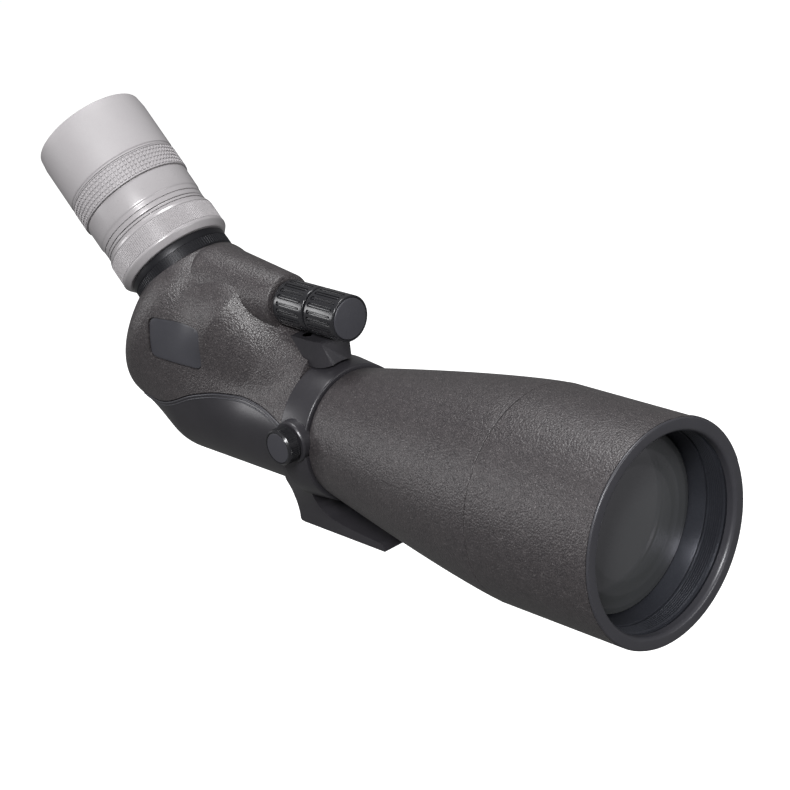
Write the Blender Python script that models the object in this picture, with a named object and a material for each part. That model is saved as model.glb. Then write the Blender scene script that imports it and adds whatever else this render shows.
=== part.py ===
"""Angled spotting scope as an assembly of separate pieces.

The frame is metres, +X towards the objective and +Z up, with the origin at the centre of the tripod
foot's seating face.  Every size below is in millimetres and is turned to metres where a mesh is made.
Three empties carry the turned pieces: one on the optical axis, one on the focus knobs' axis and one on
the eyepiece's axis, which leans back at EYEPIECE_ANGLE.
"""

import math

import bmesh
import bpy
from mathutils import Matrix, Vector

MM = 0.001
GAP = 0.3                      # play between pieces that touch or run on each other
STEPS = 32                     # facets round the large tubes
SMALL_STEPS = 16               # facets round inner and small round pieces

# Heights and stations of the three axes
AXIS_HEIGHT = 46.2             # optical axis above the foot's seating face
FOCUS_AXIS_HEIGHT = 54.3       # focus knobs' axis above the optical axis
EYEPIECE_ANGLE = 45.0          # lean of the eyepiece's axis from the optical axis
EYE_AXIS_X = -50.7             # where the eyepiece's axis crosses the optical axis

# Tripod collar, its liner and the tube's journal
COLLAR_X = -5.5                # middle of the collar
COLLAR_WIDTH = 15.4
COLLAR_REAR_RADIUS = 32.3
COLLAR_FRONT_RADIUS = 30.9
COLLAR_LIP_RADIUS = 27.0
LINER_WALL = 0.9
LINER_EDGE = 2.0               # collar lip left on each side of the liner
JOURNAL_RADIUS = 26.6
JOURNAL_WALL = 2.6

# Main tube
TUBE_FRONT_RADIUS = 46.4       # at the hood's rear edge
TUBE_REAR_RADIUS = 29.1        # at the collar
TUBE_WALL = 2.4
TAPER_POWER = 1.22             # 1 is a straight cone, more is fuller
TAPER_STATIONS = 5
SLEEVE_RADIUS = 43.6           # slimmer front part that the hood runs on
SLEEVE_WALL = 2.0
SPIGOT_LENGTH = 6.4
SPIGOT_STEP = 0.6

# Lens hood
HOOD_FRONT_X = 178.0
HOOD_LENGTH = 64.4
HOOD_RADIUS = 46.5
HOOD_WALL = 2.1
HOOD_LIP_RADIUS = 40.8
HOOD_LIP_DEPTH = 4.0
HOOD_ROUND = 1.0
FRICTION_RING_WIDTH = 2.6
FRICTION_RING_DEPTH = 0.7      # how far the ring sinks into the hood's wall
STOP_RING_WIDTH = 2.4
STOP_RING_X = 156.0

# Objective
CELL_RECESS = 1.2              # cell's front face behind the hood's lip
CELL_FLANGE_WIDTH = 11.2
CELL_LENGTH = 22.3             # from the flange back to the rear lip
CELL_WALL = 1.6
CELL_LIP_RADIUS = 37.6
CELL_LIP_WIDTH = 3.3
FILTER_THREAD_RADIUS = 40.6
FILTER_THREAD_DEPTH = 9.6
FRONT_LENS_EDGE = 4.0
FRONT_LENS_BULGE = 4.0
LENS_SAG = 3.0                 # of the two facing surfaces
SPACER_WIDTH = 1.5
RETAINER_WIDTH = 7.6
RETAINER_WALL = 1.1
REAR_LENS_EDGE = 6.0
REAR_LENS_BULGE = 1.0
LENS_RINGS = 3
BAFFLE_X = 66.0
BAFFLE_HOLE = 25.0
BAFFLE_WIDTH = 1.4

# Foot and clamp
FOOT_HALF_WIDTH = 13.6
FOOT_REAR_X = -27.0
FOOT_FRONT_X = 27.6
FOOT_TIP_HEIGHT = 4.0
ARM_HALF_WIDTH = 30.6          # where the arm meets the collar
INSERT_X = 8.0
INSERT_RADIUS = 5.0
INSERT_HOLE_RADIUS = 3.2
INSERT_HEIGHT = 4.2
PIN_HOLE_X = -12.0
PIN_HOLE_RADIUS = 2.3
PIN_HOLE_DEPTH = 4.5
CLAMP_RISE = 5.5               # clamp's axis above the optical axis
BOSS_RADIUS = 9.2
BOSS_REACH = 32.4              # from the optical axis
CLAMP_KNOB_RADIUS = 8.2
CLAMP_KNOB_LENGTH = 6.6
CLAMP_SHANK_RADIUS = 2.7
CLAMP_CAP_RADIUS = 6.6
CLAMP_CAP_DEPTH = 1.0
SHOE_RADIUS = 4.3
SHOE_LENGTH = 2.3
CLAMP_TRAVEL = 1.0

# Prism housing
HOUSING_RADIUS = 28.8          # round lower body
HOUSING_WALL = 3.0
HOUSING_BACK_X = -90.5         # where the lower body starts to round off
BULGE_X = -117.0
BULGE_RISE = 28.0
BULGE_SIZE = (33.5, 33.5, 41.0)
BULGE_TILT = 9.0              # its long axis leans up towards the front
SADDLE_FRONT = (-6.0, 21.5, 14.0)   # station, height and radius of the ridge under the turret
SADDLE_REAR = (-70.0, 33.0, 20.0)
FLARE_FRONT = (-41.0, 25.0, 18.0)    # the same for the flank that rises over the turret's rear
FLARE_REAR = (-64.0, 40.0, 26.5)
NECK_RADIUS = 25.8
NECK_LENGTH = 76.0             # along the eyepiece's axis, from the crossing
TURRET_FRONT_X = -34.0
TURRET_FRONT_RADIUS = 12.4
TURRET_REAR_X = -84.0
TURRET_REAR_RADIUS = 18.2
BLEND = 9.0
BODY_BLEND = 12.5
NECK_BLEND = 28.0
CROWN_RADIUS = 29.0            # cone round the port that the housing stays inside
CROWN_SLOPE = 2.0
CROWN_BLEND = 10.0
HOUSING_HEART = (-82.0, 12.0)    # point inside that the skin is drawn out from
HOUSING_COLUMNS = 34
HOUSING_ROWS = 20
CAVITY_COLUMNS = 18
CAVITY_ROWS = 12
FRONT_WALL = 6.4
SEAM = [(-175.0, 1.0), (-117.0, 1.2), (-101.0, 1.6), (-90.0, 4.6), (-76.0, 11.0), (-62.0, 14.5),
        (-45.0, 15.5), (-30.0, 14.0), (-20.0, 10.8), (-5.0, 4.0)]
PLATE_X = -82.0
PLATE_RISE = 34.5
PLATE_SIZE = (33.0, 19.0)
PLATE_TILT = 11.0
PLATE_DEPTH = 1.6
PLATE_THICKNESS = 1.2

# Focus drive
KNOB_RADIUS = 10.3
COARSE_LENGTH = 19.4
FINE_LENGTH = 18.8
KNOB_SPACING = 1.0
CAP_THICKNESS = 1.4
CAP_RADIUS = 9.2
SHAFT_RADIUS = 3.0
SPINDLE_RADIUS = 1.3
SHAFT_REAR_X = -79.0
SPINDLE_REAR_X = -30.0
BUSH_WALL = 2.3
CHAMBER_RADIUS = 8.4           # room round the shaft and its nut inside the turret
BUSH_LENGTH = 6.0
PEDESTAL_HALF_WIDTH = 9.6
PEDESTAL_REAR_X = -22.0
PEDESTAL_SCREW_SPREAD = 5.0
PEDESTAL_FRONT_X = -2.8
PEDESTAL_CLEARANCE = 0.9       # above the collar, which turns under it
PEDESTAL_SLOPE = 3.0
FOCUS_TRAVEL = 5.0
FOCUS_CELL_X = -33.0
FOCUS_CELL_WIDTH = 10.0
FOCUS_CELL_PLAY = 1.6          # between the spigot's wall and the focus cell
FOCUS_LENS_RADIUS = 17.0
FOCUS_LENS_WIDTH = 4.0
NUT_X = -77.0
NUT_WIDTH = 5.0
NUT_RADIUS = 6.4
ARM_WIDTH = 6.0
ARM_THICKNESS = 3.0
ROD_RADIUS = 1.5
ROD_SPREAD = 20.8

# Prisms and their carrier
CARRIER_X = -58.0
CARRIER_PLATE = 4.0
CARRIER_RADIUS = 24.2
CARRIER_HOLE = 15.5
PRISM_HALF_WIDTH = 15.0
SIDE_PLATE = 2.0
ERECTING_PRISM = [(-62.0, -15.5), (-62.0, 16.5), (-118.5, 16.5), (-116.5, 2.0), (-97.0, -11.0), (-89.0, -15.5)]
EXIT_PRISM = [(-82.5, 17.4), (-89.5, 44.5), (-105.0, 29.0), (-116.0, 17.4)]
STRAP_THICKNESS = 1.2

# Eyepiece, by distance along its own axis from the crossing
PORT_RADIUS = 24.6
PORT_BORE = 19.5
PORT_END = 84.7
STUB_START = 62.0
BASE_RADIUS = 27.7
BASE_FLANGE_END = 100.2
BASE_END = 103.2
GROOVE_RADIUS = 26.4
BARREL_RADIUS = 21.6
BARREL_BORE = 16.0
BARREL_END = 152.0
ZOOM_START = 103.6
ZOOM_END = 132.0
ZOOM_RADIUS = 26.9
GRIP_RADIUS = 27.7
GRIP_START = 120.4
GRIP_WALL = 1.4
ZOOM_TRAVEL = 8.0
ZOOM_CELL_START = 104.0
ZOOM_CELL_LENGTH = 10.0
ZOOM_LENS_RADIUS = 12.0
PIN_RADIUS = 1.2
CUP_START = 132.4
CUP_END = 162.6
CUP_RADIUS = 27.6
CUP_WALL = 2.4
CUP_TRAVEL = 9.0
GUIDE_WALL = 1.6
EYE_LENS_RADIUS = 13.5
EYE_LENS_WIDTH = 6.0
FIELD_LENS_RADIUS = 12.5
FIELD_LENS_WIDTH = 5.0
SEAL_WIDTH = 2.2
SEAL_DEPTH = 0.8
SCREW_HEAD_RADIUS = 2.2
SCREW_HEAD_HEIGHT = 1.2
SCREW_SHANK_RADIUS = 1.2
SCREW_LENGTH = 6.0

# Sizes that follow from the ones above
COLLAR_REAR_X = COLLAR_X - COLLAR_WIDTH / 2
COLLAR_FRONT_X = COLLAR_X + COLLAR_WIDTH / 2
HOUSING_FRONT_X = COLLAR_REAR_X - GAP
SHOULDER_X = COLLAR_FRONT_X + GAP
HOOD_REAR_X = HOOD_FRONT_X - HOOD_LENGTH
STEP_X = HOOD_REAR_X - GAP
HOOD_BORE = HOOD_RADIUS - HOOD_WALL
SPIGOT_RADIUS = JOURNAL_RADIUS - SPIGOT_STEP
FOCUS_CELL_RADIUS = SPIGOT_RADIUS - FOCUS_CELL_PLAY
SPIGOT_REAR_X = HOUSING_FRONT_X - SPIGOT_LENGTH
CAVITY_FRONT_X = HOUSING_FRONT_X - FRONT_WALL
CELL_FRONT_X = HOOD_FRONT_X - HOOD_LIP_DEPTH - CELL_RECESS
CELL_SEAT_X = CELL_FRONT_X - CELL_FLANGE_WIDTH
SLEEVE_FRONT_X = CELL_SEAT_X - GAP
SLEEVE_BORE = SLEEVE_RADIUS - SLEEVE_WALL
CELL_RADIUS = SLEEVE_BORE - GAP
CELL_BORE = CELL_RADIUS - CELL_WALL
CELL_REAR_X = CELL_SEAT_X - CELL_LENGTH
LENS_RADIUS = CELL_BORE - GAP
HOOD_TRAVEL = STOP_RING_X - (HOOD_REAR_X + 3 * FRICTION_RING_WIDTH) + FRICTION_RING_WIDTH - GAP
LINER_RADIUS = JOURNAL_RADIUS + GAP
COARSE_REAR_X = TURRET_FRONT_X + KNOB_SPACING
COARSE_FRONT_X = COARSE_REAR_X + COARSE_LENGTH
FINE_REAR_X = COARSE_FRONT_X + KNOB_SPACING
FINE_FRONT_X = FINE_REAR_X + FINE_LENGTH
LEAN = math.radians(EYEPIECE_ANGLE)


def clear_scene():
    """Empty the scene."""
    for thing in list(bpy.data.objects):
        bpy.data.objects.remove(thing, do_unlink=True)


def finish_material(name, colour, roughness, metallic):
    """A plain Principled material with the piece's colour and gloss."""
    material = bpy.data.materials.new(name)
    material.use_nodes = True
    shader = material.node_tree.nodes["Principled BSDF"]
    shader.inputs["Base Color"].default_value = (*colour, 1.0)
    shader.inputs["Roughness"].default_value = roughness
    shader.inputs["Metallic"].default_value = metallic
    return material


def axis_empty(name, location, turn=0.0):
    """An empty on an axis, whose local X runs along it."""
    empty = bpy.data.objects.new(name, None)
    empty.location = [value * MM for value in location]
    empty.rotation_euler = (0.0, turn, 0.0)
    bpy.context.scene.collection.objects.link(empty)
    return empty


def add_object(name, shape, material, parent=None):
    """Turn a bmesh into a named object, smooth where it is round."""
    mesh = bpy.data.meshes.new(name)
    shape.to_mesh(mesh)
    shape.free()
    mesh.shade_smooth()
    mesh.set_sharp_from_angle(angle=math.radians(32))
    thing = bpy.data.objects.new(name, mesh)
    if material:
        mesh.materials.append(material)
    thing.parent = parent
    bpy.context.scene.collection.objects.link(thing)
    return thing


def turned_shape(profile, steps):
    """Spin a profile of (station, radius) points about local X.

    A profile that starts and ends on the axis stays open there; any other is a closed ring section.
    """
    shape = bmesh.new()
    points = [shape.verts.new((x * MM, 0.0, r * MM)) for x, r in profile]
    edges = [shape.edges.new(pair) for pair in zip(points[:-1], points[1:])]
    if profile[0][1] > 0.0:
        edges.append(shape.edges.new((points[-1], points[0])))
    bmesh.ops.spin(shape, geom=points + edges, cent=(0, 0, 0), axis=(1, 0, 0), angle=math.tau,
                   steps=steps, use_merge=True)
    bmesh.ops.remove_doubles(shape, verts=shape.verts, dist=1e-7)
    bmesh.ops.recalc_face_normals(shape, faces=shape.faces)
    return shape


def turned(name, profile, material, parent, steps=SMALL_STEPS):
    """A round piece from its profile."""
    return add_object(name, turned_shape(profile, steps), material, parent)


def ring(name, rear, front, inner, outer, material, parent, steps=SMALL_STEPS):
    """A plain ring between two stations."""
    profile = [(rear, inner), (rear, outer), (front, outer), (front, inner)]
    return turned(name, profile, material, parent, steps)


def prism_shape(outline, half_width, direction="Y"):
    """Extrude an outline both ways across a middle plane.

    The outline is (x, z) for direction Y and (y, z) for direction X.
    """
    shape = bmesh.new()
    if direction == "Y":
        first = [(x, -half_width, z) for x, z in outline]
        shift = (0.0, 2 * half_width * MM, 0.0)
    else:
        first = [(-half_width, y, z) for y, z in outline]
        shift = (2 * half_width * MM, 0.0, 0.0)
    corners = [shape.verts.new([value * MM for value in corner]) for corner in first]
    face = shape.faces.new(corners)
    grown = bmesh.ops.extrude_face_region(shape, geom=[face])
    moved = [item for item in grown["geom"] if isinstance(item, bmesh.types.BMVert)]
    bmesh.ops.translate(shape, verts=moved, vec=shift)
    bmesh.ops.recalc_face_normals(shape, faces=shape.faces)
    return shape


def box_shape(low, high):
    """A block between two corners."""
    shape = bmesh.new()
    bmesh.ops.create_cube(shape, size=1.0)
    for vert in shape.verts:
        vert.co = [((a + b) / 2 + (b - a) * c) * MM for a, b, c in zip(low, high, vert.co)]
    return shape


def rod_shape(start, end, radius, steps=SMALL_STEPS):
    """A round bar between two points."""
    start, end = Vector(start), Vector(end)
    shape = turned_shape([(0.0, 0.0), (0.0, radius), ((end - start).length, radius),
                          ((end - start).length, 0.0)], steps)
    turn = (end - start).to_track_quat("X", "Z").to_matrix().to_4x4()
    bmesh.ops.transform(shape, matrix=Matrix.Translation(start * MM) @ turn, verts=shape.verts)
    return shape


def helper(name, shape, parent=None):
    """An object that only cuts or joins others."""
    thing = add_object(name, shape, None, parent)
    thing.hide_render = True
    thing.display_type = "WIRE"
    return thing


def combine(thing, other, operation, solver="MANIFOLD"):
    """Cut, join or intersect with a helper."""
    modifier = thing.modifiers.new(other.name, "BOOLEAN")
    modifier.operation = operation
    modifier.object = other
    modifier.solver = solver


def soft_least(a, b, width):
    """The lesser of two values, rounded off where they are within width of each other."""
    share = min(max(0.5 + 0.5 * (b - a) / width, 0.0), 1.0)
    return b + (a - b) * share - width * share * (1.0 - share)


def round_bar_distance(point, start, end, start_radius, end_radius):
    """Distance from a round-ended bar whose radius changes evenly."""
    along = end - start
    share = min(max((point - start).dot(along) / along.length_squared, 0.0), 1.0)
    return (point - start - along * share).length - (start_radius + (end_radius - start_radius) * share)


def egg_distance(point, centre, size, tilt):
    """Near enough the distance from an ellipsoid whose long axis leans up by tilt degrees."""
    offset = point - Vector(centre)
    cosine, sine = math.cos(math.radians(tilt)), math.sin(math.radians(tilt))
    turned_back = (offset.x * cosine + offset.z * sine, offset.y, offset.z * cosine - offset.x * sine)
    scaled = Vector([value / s for value, s in zip(turned_back, size)])
    steep = Vector([value / s for value, s in zip(scaled, size)])
    return scaled.length * (scaled.length - 1.0) / max(steep.length, 1e-9)


def housing_distance(point):
    """Distance from the housing's outer skin; the optical axis is at height zero here."""
    body = round_bar_distance(point, Vector((COLLAR_FRONT_X + HOUSING_RADIUS, 0, 0)),
                              Vector((HOUSING_BACK_X, 0, 0)), HOUSING_RADIUS, HOUSING_RADIUS)
    bulge = egg_distance(point, (BULGE_X, 0.0, BULGE_RISE), BULGE_SIZE, BULGE_TILT)
    lean = Vector((-math.cos(LEAN), 0.0, math.sin(LEAN)))
    crossing = Vector((EYE_AXIS_X, 0.0, 0.0))
    neck = round_bar_distance(point, crossing + lean * (NECK_LENGTH * 0.6),
                              crossing + lean * (NECK_LENGTH + 2 * NECK_RADIUS), NECK_RADIUS, NECK_RADIUS)
    (front_x, front_z, front_r), (rear_x, rear_z, rear_r) = SADDLE_FRONT, SADDLE_REAR
    saddle = round_bar_distance(point, Vector((front_x, 0, front_z)), Vector((rear_x, 0, rear_z)),
                                front_r, rear_r)
    (front_x, front_z, front_r), (rear_x, rear_z, rear_r) = FLARE_FRONT, FLARE_REAR
    flare = round_bar_distance(point, Vector((front_x, 0, front_z)), Vector((rear_x, 0, rear_z)),
                               front_r, rear_r)
    whole = soft_least(soft_least(body, bulge, BODY_BLEND), neck, NECK_BLEND)
    whole = soft_least(soft_least(whole, saddle, BLEND), flare, BLEND)
    along = (point - crossing).dot(lean)
    across = (point - crossing - lean * along).length
    crown = (across - CROWN_RADIUS + (along - NECK_LENGTH) * CROWN_SLOPE) / math.hypot(1.0, CROWN_SLOPE)
    return -soft_least(-whole, -crown, CROWN_BLEND)


def housing_reach(start, direction, inset):
    """How far the skin, moved inwards by inset, lies from a point inside."""
    near, far = 0.0, 4.0
    while housing_distance(start + direction * far) + inset < 0.0:
        near, far = far, far + 4.0
    for _ in range(14):
        middle = (near + far) / 2
        if housing_distance(start + direction * middle) + inset < 0.0:
            near = middle
        else:
            far = middle
    return (near + far) / 2


def housing_blob(inset, columns, rows, reach_front):
    """The housing's skin as a closed mesh, cut flat at its front."""
    centre = Vector((HOUSING_HEART[0], 0.0, HOUSING_HEART[1]))
    shape = bmesh.new()
    rings = []
    for row in range(1, rows):
        polar = math.pi * row / rows
        line = []
        for column in range(columns):
            turn = math.tau * column / columns
            way = Vector((math.sin(polar) * math.cos(turn), math.cos(polar), math.sin(polar) * math.sin(turn)))
            spot = centre + way * housing_reach(centre, way, inset)
            line.append(shape.verts.new((spot + Vector((0, 0, AXIS_HEIGHT))) * MM))
        rings.append(line)
    poles = []
    for side in (1.0, -1.0):
        way = Vector((0.0, side, 0.0))
        spot = centre + way * housing_reach(centre, way, inset)
        poles.append(shape.verts.new((spot + Vector((0, 0, AXIS_HEIGHT))) * MM))
    for column in range(columns):
        after = (column + 1) % columns
        for line, below in zip(rings[:-1], rings[1:]):
            shape.faces.new((line[column], line[after], below[after], below[column]))
        shape.faces.new((poles[0], rings[0][after], rings[0][column]))
        shape.faces.new((poles[1], rings[-1][column], rings[-1][after]))
    bmesh.ops.recalc_face_normals(shape, faces=shape.faces)
    cut_flat(shape, Vector((reach_front, 0, 0)), Vector((1, 0, 0)))
    return shape


def cut_flat(shape, point, normal):
    """Remove what lies past a plane and close the cut."""
    geometry = list(shape.verts) + list(shape.edges) + list(shape.faces)
    bmesh.ops.bisect_plane(shape, geom=geometry, plane_co=point * MM, plane_no=normal, clear_outer=True)
    rim = [edge for edge in shape.edges if edge.is_boundary]
    bmesh.ops.holes_fill(shape, edges=rim, sides=0)
    bmesh.ops.recalc_face_normals(shape, faces=shape.faces)


def tube_radius(x):
    """Outer radius of the main tube's taper."""
    share = (x - SHOULDER_X) / (STEP_X - SHOULDER_X)
    rise = TUBE_FRONT_RADIUS - TUBE_REAR_RADIUS
    return TUBE_REAR_RADIUS + rise * (1.0 - (1.0 - share) ** TAPER_POWER)


def tube_bore(x):
    """Inner radius behind the taper."""
    return min(tube_radius(x) - TUBE_WALL, SLEEVE_BORE)


def seal_groove(middle, radius):
    """Profile points of a seal's groove, going forwards."""
    half = SEAL_WIDTH / 2 + GAP
    floor = radius - SEAL_DEPTH - GAP
    return [(middle - half, radius), (middle - half, floor), (middle + half, floor), (middle + half, radius)]


def build_main_tube(optical, paint, rubber, steel):
    """The tapered tube with its journal, spigot and front sleeve, and its rings."""
    seal_x = SPIGOT_REAR_X + 1.4 + SEAL_WIDTH / 2
    stations = [SHOULDER_X + (STEP_X - SHOULDER_X) * n / TAPER_STATIONS for n in range(TAPER_STATIONS + 1)]
    ring_floor = SLEEVE_RADIUS - 1.0
    outside = [(SPIGOT_REAR_X, JOURNAL_RADIUS - JOURNAL_WALL), (SPIGOT_REAR_X, SPIGOT_RADIUS)]
    outside += seal_groove(seal_x, SPIGOT_RADIUS)
    outside += [(HOUSING_FRONT_X, SPIGOT_RADIUS), (HOUSING_FRONT_X, JOURNAL_RADIUS), (SHOULDER_X, JOURNAL_RADIUS)]
    outside += [(x, tube_radius(x)) for x in stations]
    outside += [(STEP_X, SLEEVE_RADIUS), (STOP_RING_X, SLEEVE_RADIUS), (STOP_RING_X, ring_floor),
                (STOP_RING_X + STOP_RING_WIDTH, ring_floor), (STOP_RING_X + STOP_RING_WIDTH, SLEEVE_RADIUS),
                (SLEEVE_FRONT_X, SLEEVE_RADIUS), (SLEEVE_FRONT_X, SLEEVE_BORE)]
    inside = [(x + TUBE_WALL, tube_bore(x)) for x in reversed(stations[1:-1])]
    inside += [(SHOULDER_X + 2 * TUBE_WALL, JOURNAL_RADIUS - JOURNAL_WALL)]
    turned("main_tube", outside + inside, paint, optical, STEPS)
    ring("hood_stop_ring", STOP_RING_X + GAP, STOP_RING_X + STOP_RING_WIDTH - GAP, ring_floor + GAP,
         HOOD_BORE - GAP, steel, optical, STEPS)
    ring("tube_seal", seal_x - SEAL_WIDTH / 2, seal_x + SEAL_WIDTH / 2, SPIGOT_RADIUS - SEAL_DEPTH,
         SPIGOT_RADIUS, rubber, optical, SMALL_STEPS * 2)
    ring("tube_baffle", BAFFLE_X, BAFFLE_X + BAFFLE_WIDTH, BAFFLE_HOLE,
         tube_bore(BAFFLE_X - TUBE_WALL) - 2 * GAP, steel, optical)


def build_hood(optical, paint, felt):
    """The sliding lens hood and the felt ring that holds it by friction."""
    groove_rear = HOOD_REAR_X + FRICTION_RING_WIDTH
    groove_front = groove_rear + FRICTION_RING_WIDTH + 2 * GAP
    groove_radius = HOOD_BORE + FRICTION_RING_DEPTH + GAP
    profile = [(HOOD_REAR_X, HOOD_BORE), (HOOD_REAR_X, HOOD_RADIUS), (HOOD_FRONT_X - HOOD_ROUND, HOOD_RADIUS),
               (HOOD_FRONT_X, HOOD_RADIUS - HOOD_ROUND), (HOOD_FRONT_X, HOOD_LIP_RADIUS + HOOD_ROUND),
               (HOOD_FRONT_X - HOOD_ROUND, HOOD_LIP_RADIUS), (HOOD_FRONT_X - HOOD_LIP_DEPTH, HOOD_LIP_RADIUS),
               (HOOD_FRONT_X - HOOD_LIP_DEPTH, HOOD_BORE), (groove_front, HOOD_BORE),
               (groove_front, groove_radius), (groove_rear, groove_radius), (groove_rear, HOOD_BORE)]
    turned("lens_hood", profile, paint, optical, STEPS)
    ring("hood_friction_ring", groove_rear + GAP, groove_front - GAP, SLEEVE_RADIUS + GAP,
         groove_radius - GAP, felt, optical, STEPS)


def dome(edge_x, bulge, radius):
    """Profile points of a lens surface from its edge to the axis; a positive bulge points forwards."""
    sphere = (radius ** 2 + bulge ** 2) / (2 * abs(bulge))
    side = math.copysign(1.0, bulge)
    points = []
    for step in range(LENS_RINGS + 1):
        r = radius * (1.0 - step / LENS_RINGS)
        points.append((edge_x + side * (math.sqrt(sphere ** 2 - r ** 2) - (sphere - abs(bulge))), r))
    return points


def lens(name, rear, front, rear_bulge, front_bulge, radius, glass, parent, steps=SMALL_STEPS):
    """A glass element between two edge stations."""
    rear_side = dome(rear, rear_bulge, radius)
    turned(name, rear_side[::-1] + dome(front, front_bulge, radius), glass, parent, steps)


def build_objective(optical, black, glass, steel):
    """Cell, two glass elements, spacer and retaining ring."""
    lip_x = CELL_REAR_X + CELL_LIP_WIDTH
    thread_x = CELL_FRONT_X - FILTER_THREAD_DEPTH
    flange_radius = SLEEVE_RADIUS - GAP
    profile = [(CELL_REAR_X, CELL_LIP_RADIUS), (CELL_REAR_X, CELL_RADIUS), (CELL_SEAT_X, CELL_RADIUS),
               (CELL_SEAT_X, flange_radius), (CELL_FRONT_X, flange_radius), (CELL_FRONT_X, FILTER_THREAD_RADIUS),
               (thread_x, FILTER_THREAD_RADIUS), (thread_x, CELL_BORE), (lip_x, CELL_BORE), (lip_x, CELL_LIP_RADIUS)]
    turned("objective_cell", profile, black, optical, STEPS)
    rear_edge = lip_x + GAP
    rear_front = rear_edge + REAR_LENS_EDGE
    lens("rear_lens", rear_edge, rear_front, -REAR_LENS_BULGE, -LENS_SAG, LENS_RADIUS, glass, optical)
    ring("lens_spacer", rear_front + GAP, rear_front + GAP + SPACER_WIDTH, LENS_RADIUS - RETAINER_WALL,
         LENS_RADIUS, steel, optical)
    front_edge = rear_front + 2 * GAP + SPACER_WIDTH
    lens("front_lens", front_edge, front_edge + FRONT_LENS_EDGE, -LENS_SAG, FRONT_LENS_BULGE, LENS_RADIUS,
         glass, optical, STEPS)
    seat = front_edge + FRONT_LENS_EDGE + GAP
    profile = [(seat, LENS_RADIUS - RETAINER_WALL), (seat, LENS_RADIUS), (seat + RETAINER_WIDTH, LENS_RADIUS),
               (seat + RETAINER_WIDTH, LENS_RADIUS - RETAINER_WALL / 2)]
    turned("retaining_ring", profile, black, optical, STEPS)


def foot_outline():
    """Side view of arm and foot, from the collar's rear round to its front."""
    top = AXIS_HEIGHT
    return [(COLLAR_REAR_X, top), (COLLAR_REAR_X - 2.5, top * 0.87), (COLLAR_REAR_X - 9.0, top * 0.62),
            (FOOT_REAR_X - 0.6, top * 0.26), (FOOT_REAR_X - 1.4, 1.6), (FOOT_REAR_X, 0.0),
            (FOOT_FRONT_X - 1.2, 0.0), (FOOT_FRONT_X, 1.2), (FOOT_FRONT_X - 2.8, FOOT_TIP_HEIGHT),
            (2.5, 6.0), (-6.5, 8.2), (-10.8, 12.0), (-11.2, 17.5), (COLLAR_FRONT_X - 8.0, top * 0.66),
            (COLLAR_FRONT_X, top)]


def foot_front_outline():
    """Front view of arm and foot: wide at the collar, narrow at the foot."""
    side = [(FOOT_HALF_WIDTH - 0.6, 0.0), (FOOT_HALF_WIDTH, 0.8), (FOOT_HALF_WIDTH, FOOT_TIP_HEIGHT),
            (FOOT_HALF_WIDTH + 1.2, 10.0), (FOOT_HALF_WIDTH + 4.6, 18.0),
            (ARM_HALF_WIDTH - 5.2, AXIS_HEIGHT * 0.64), (ARM_HALF_WIDTH, AXIS_HEIGHT)]
    return side + [(-y, z) for y, z in reversed(side)]


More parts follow.
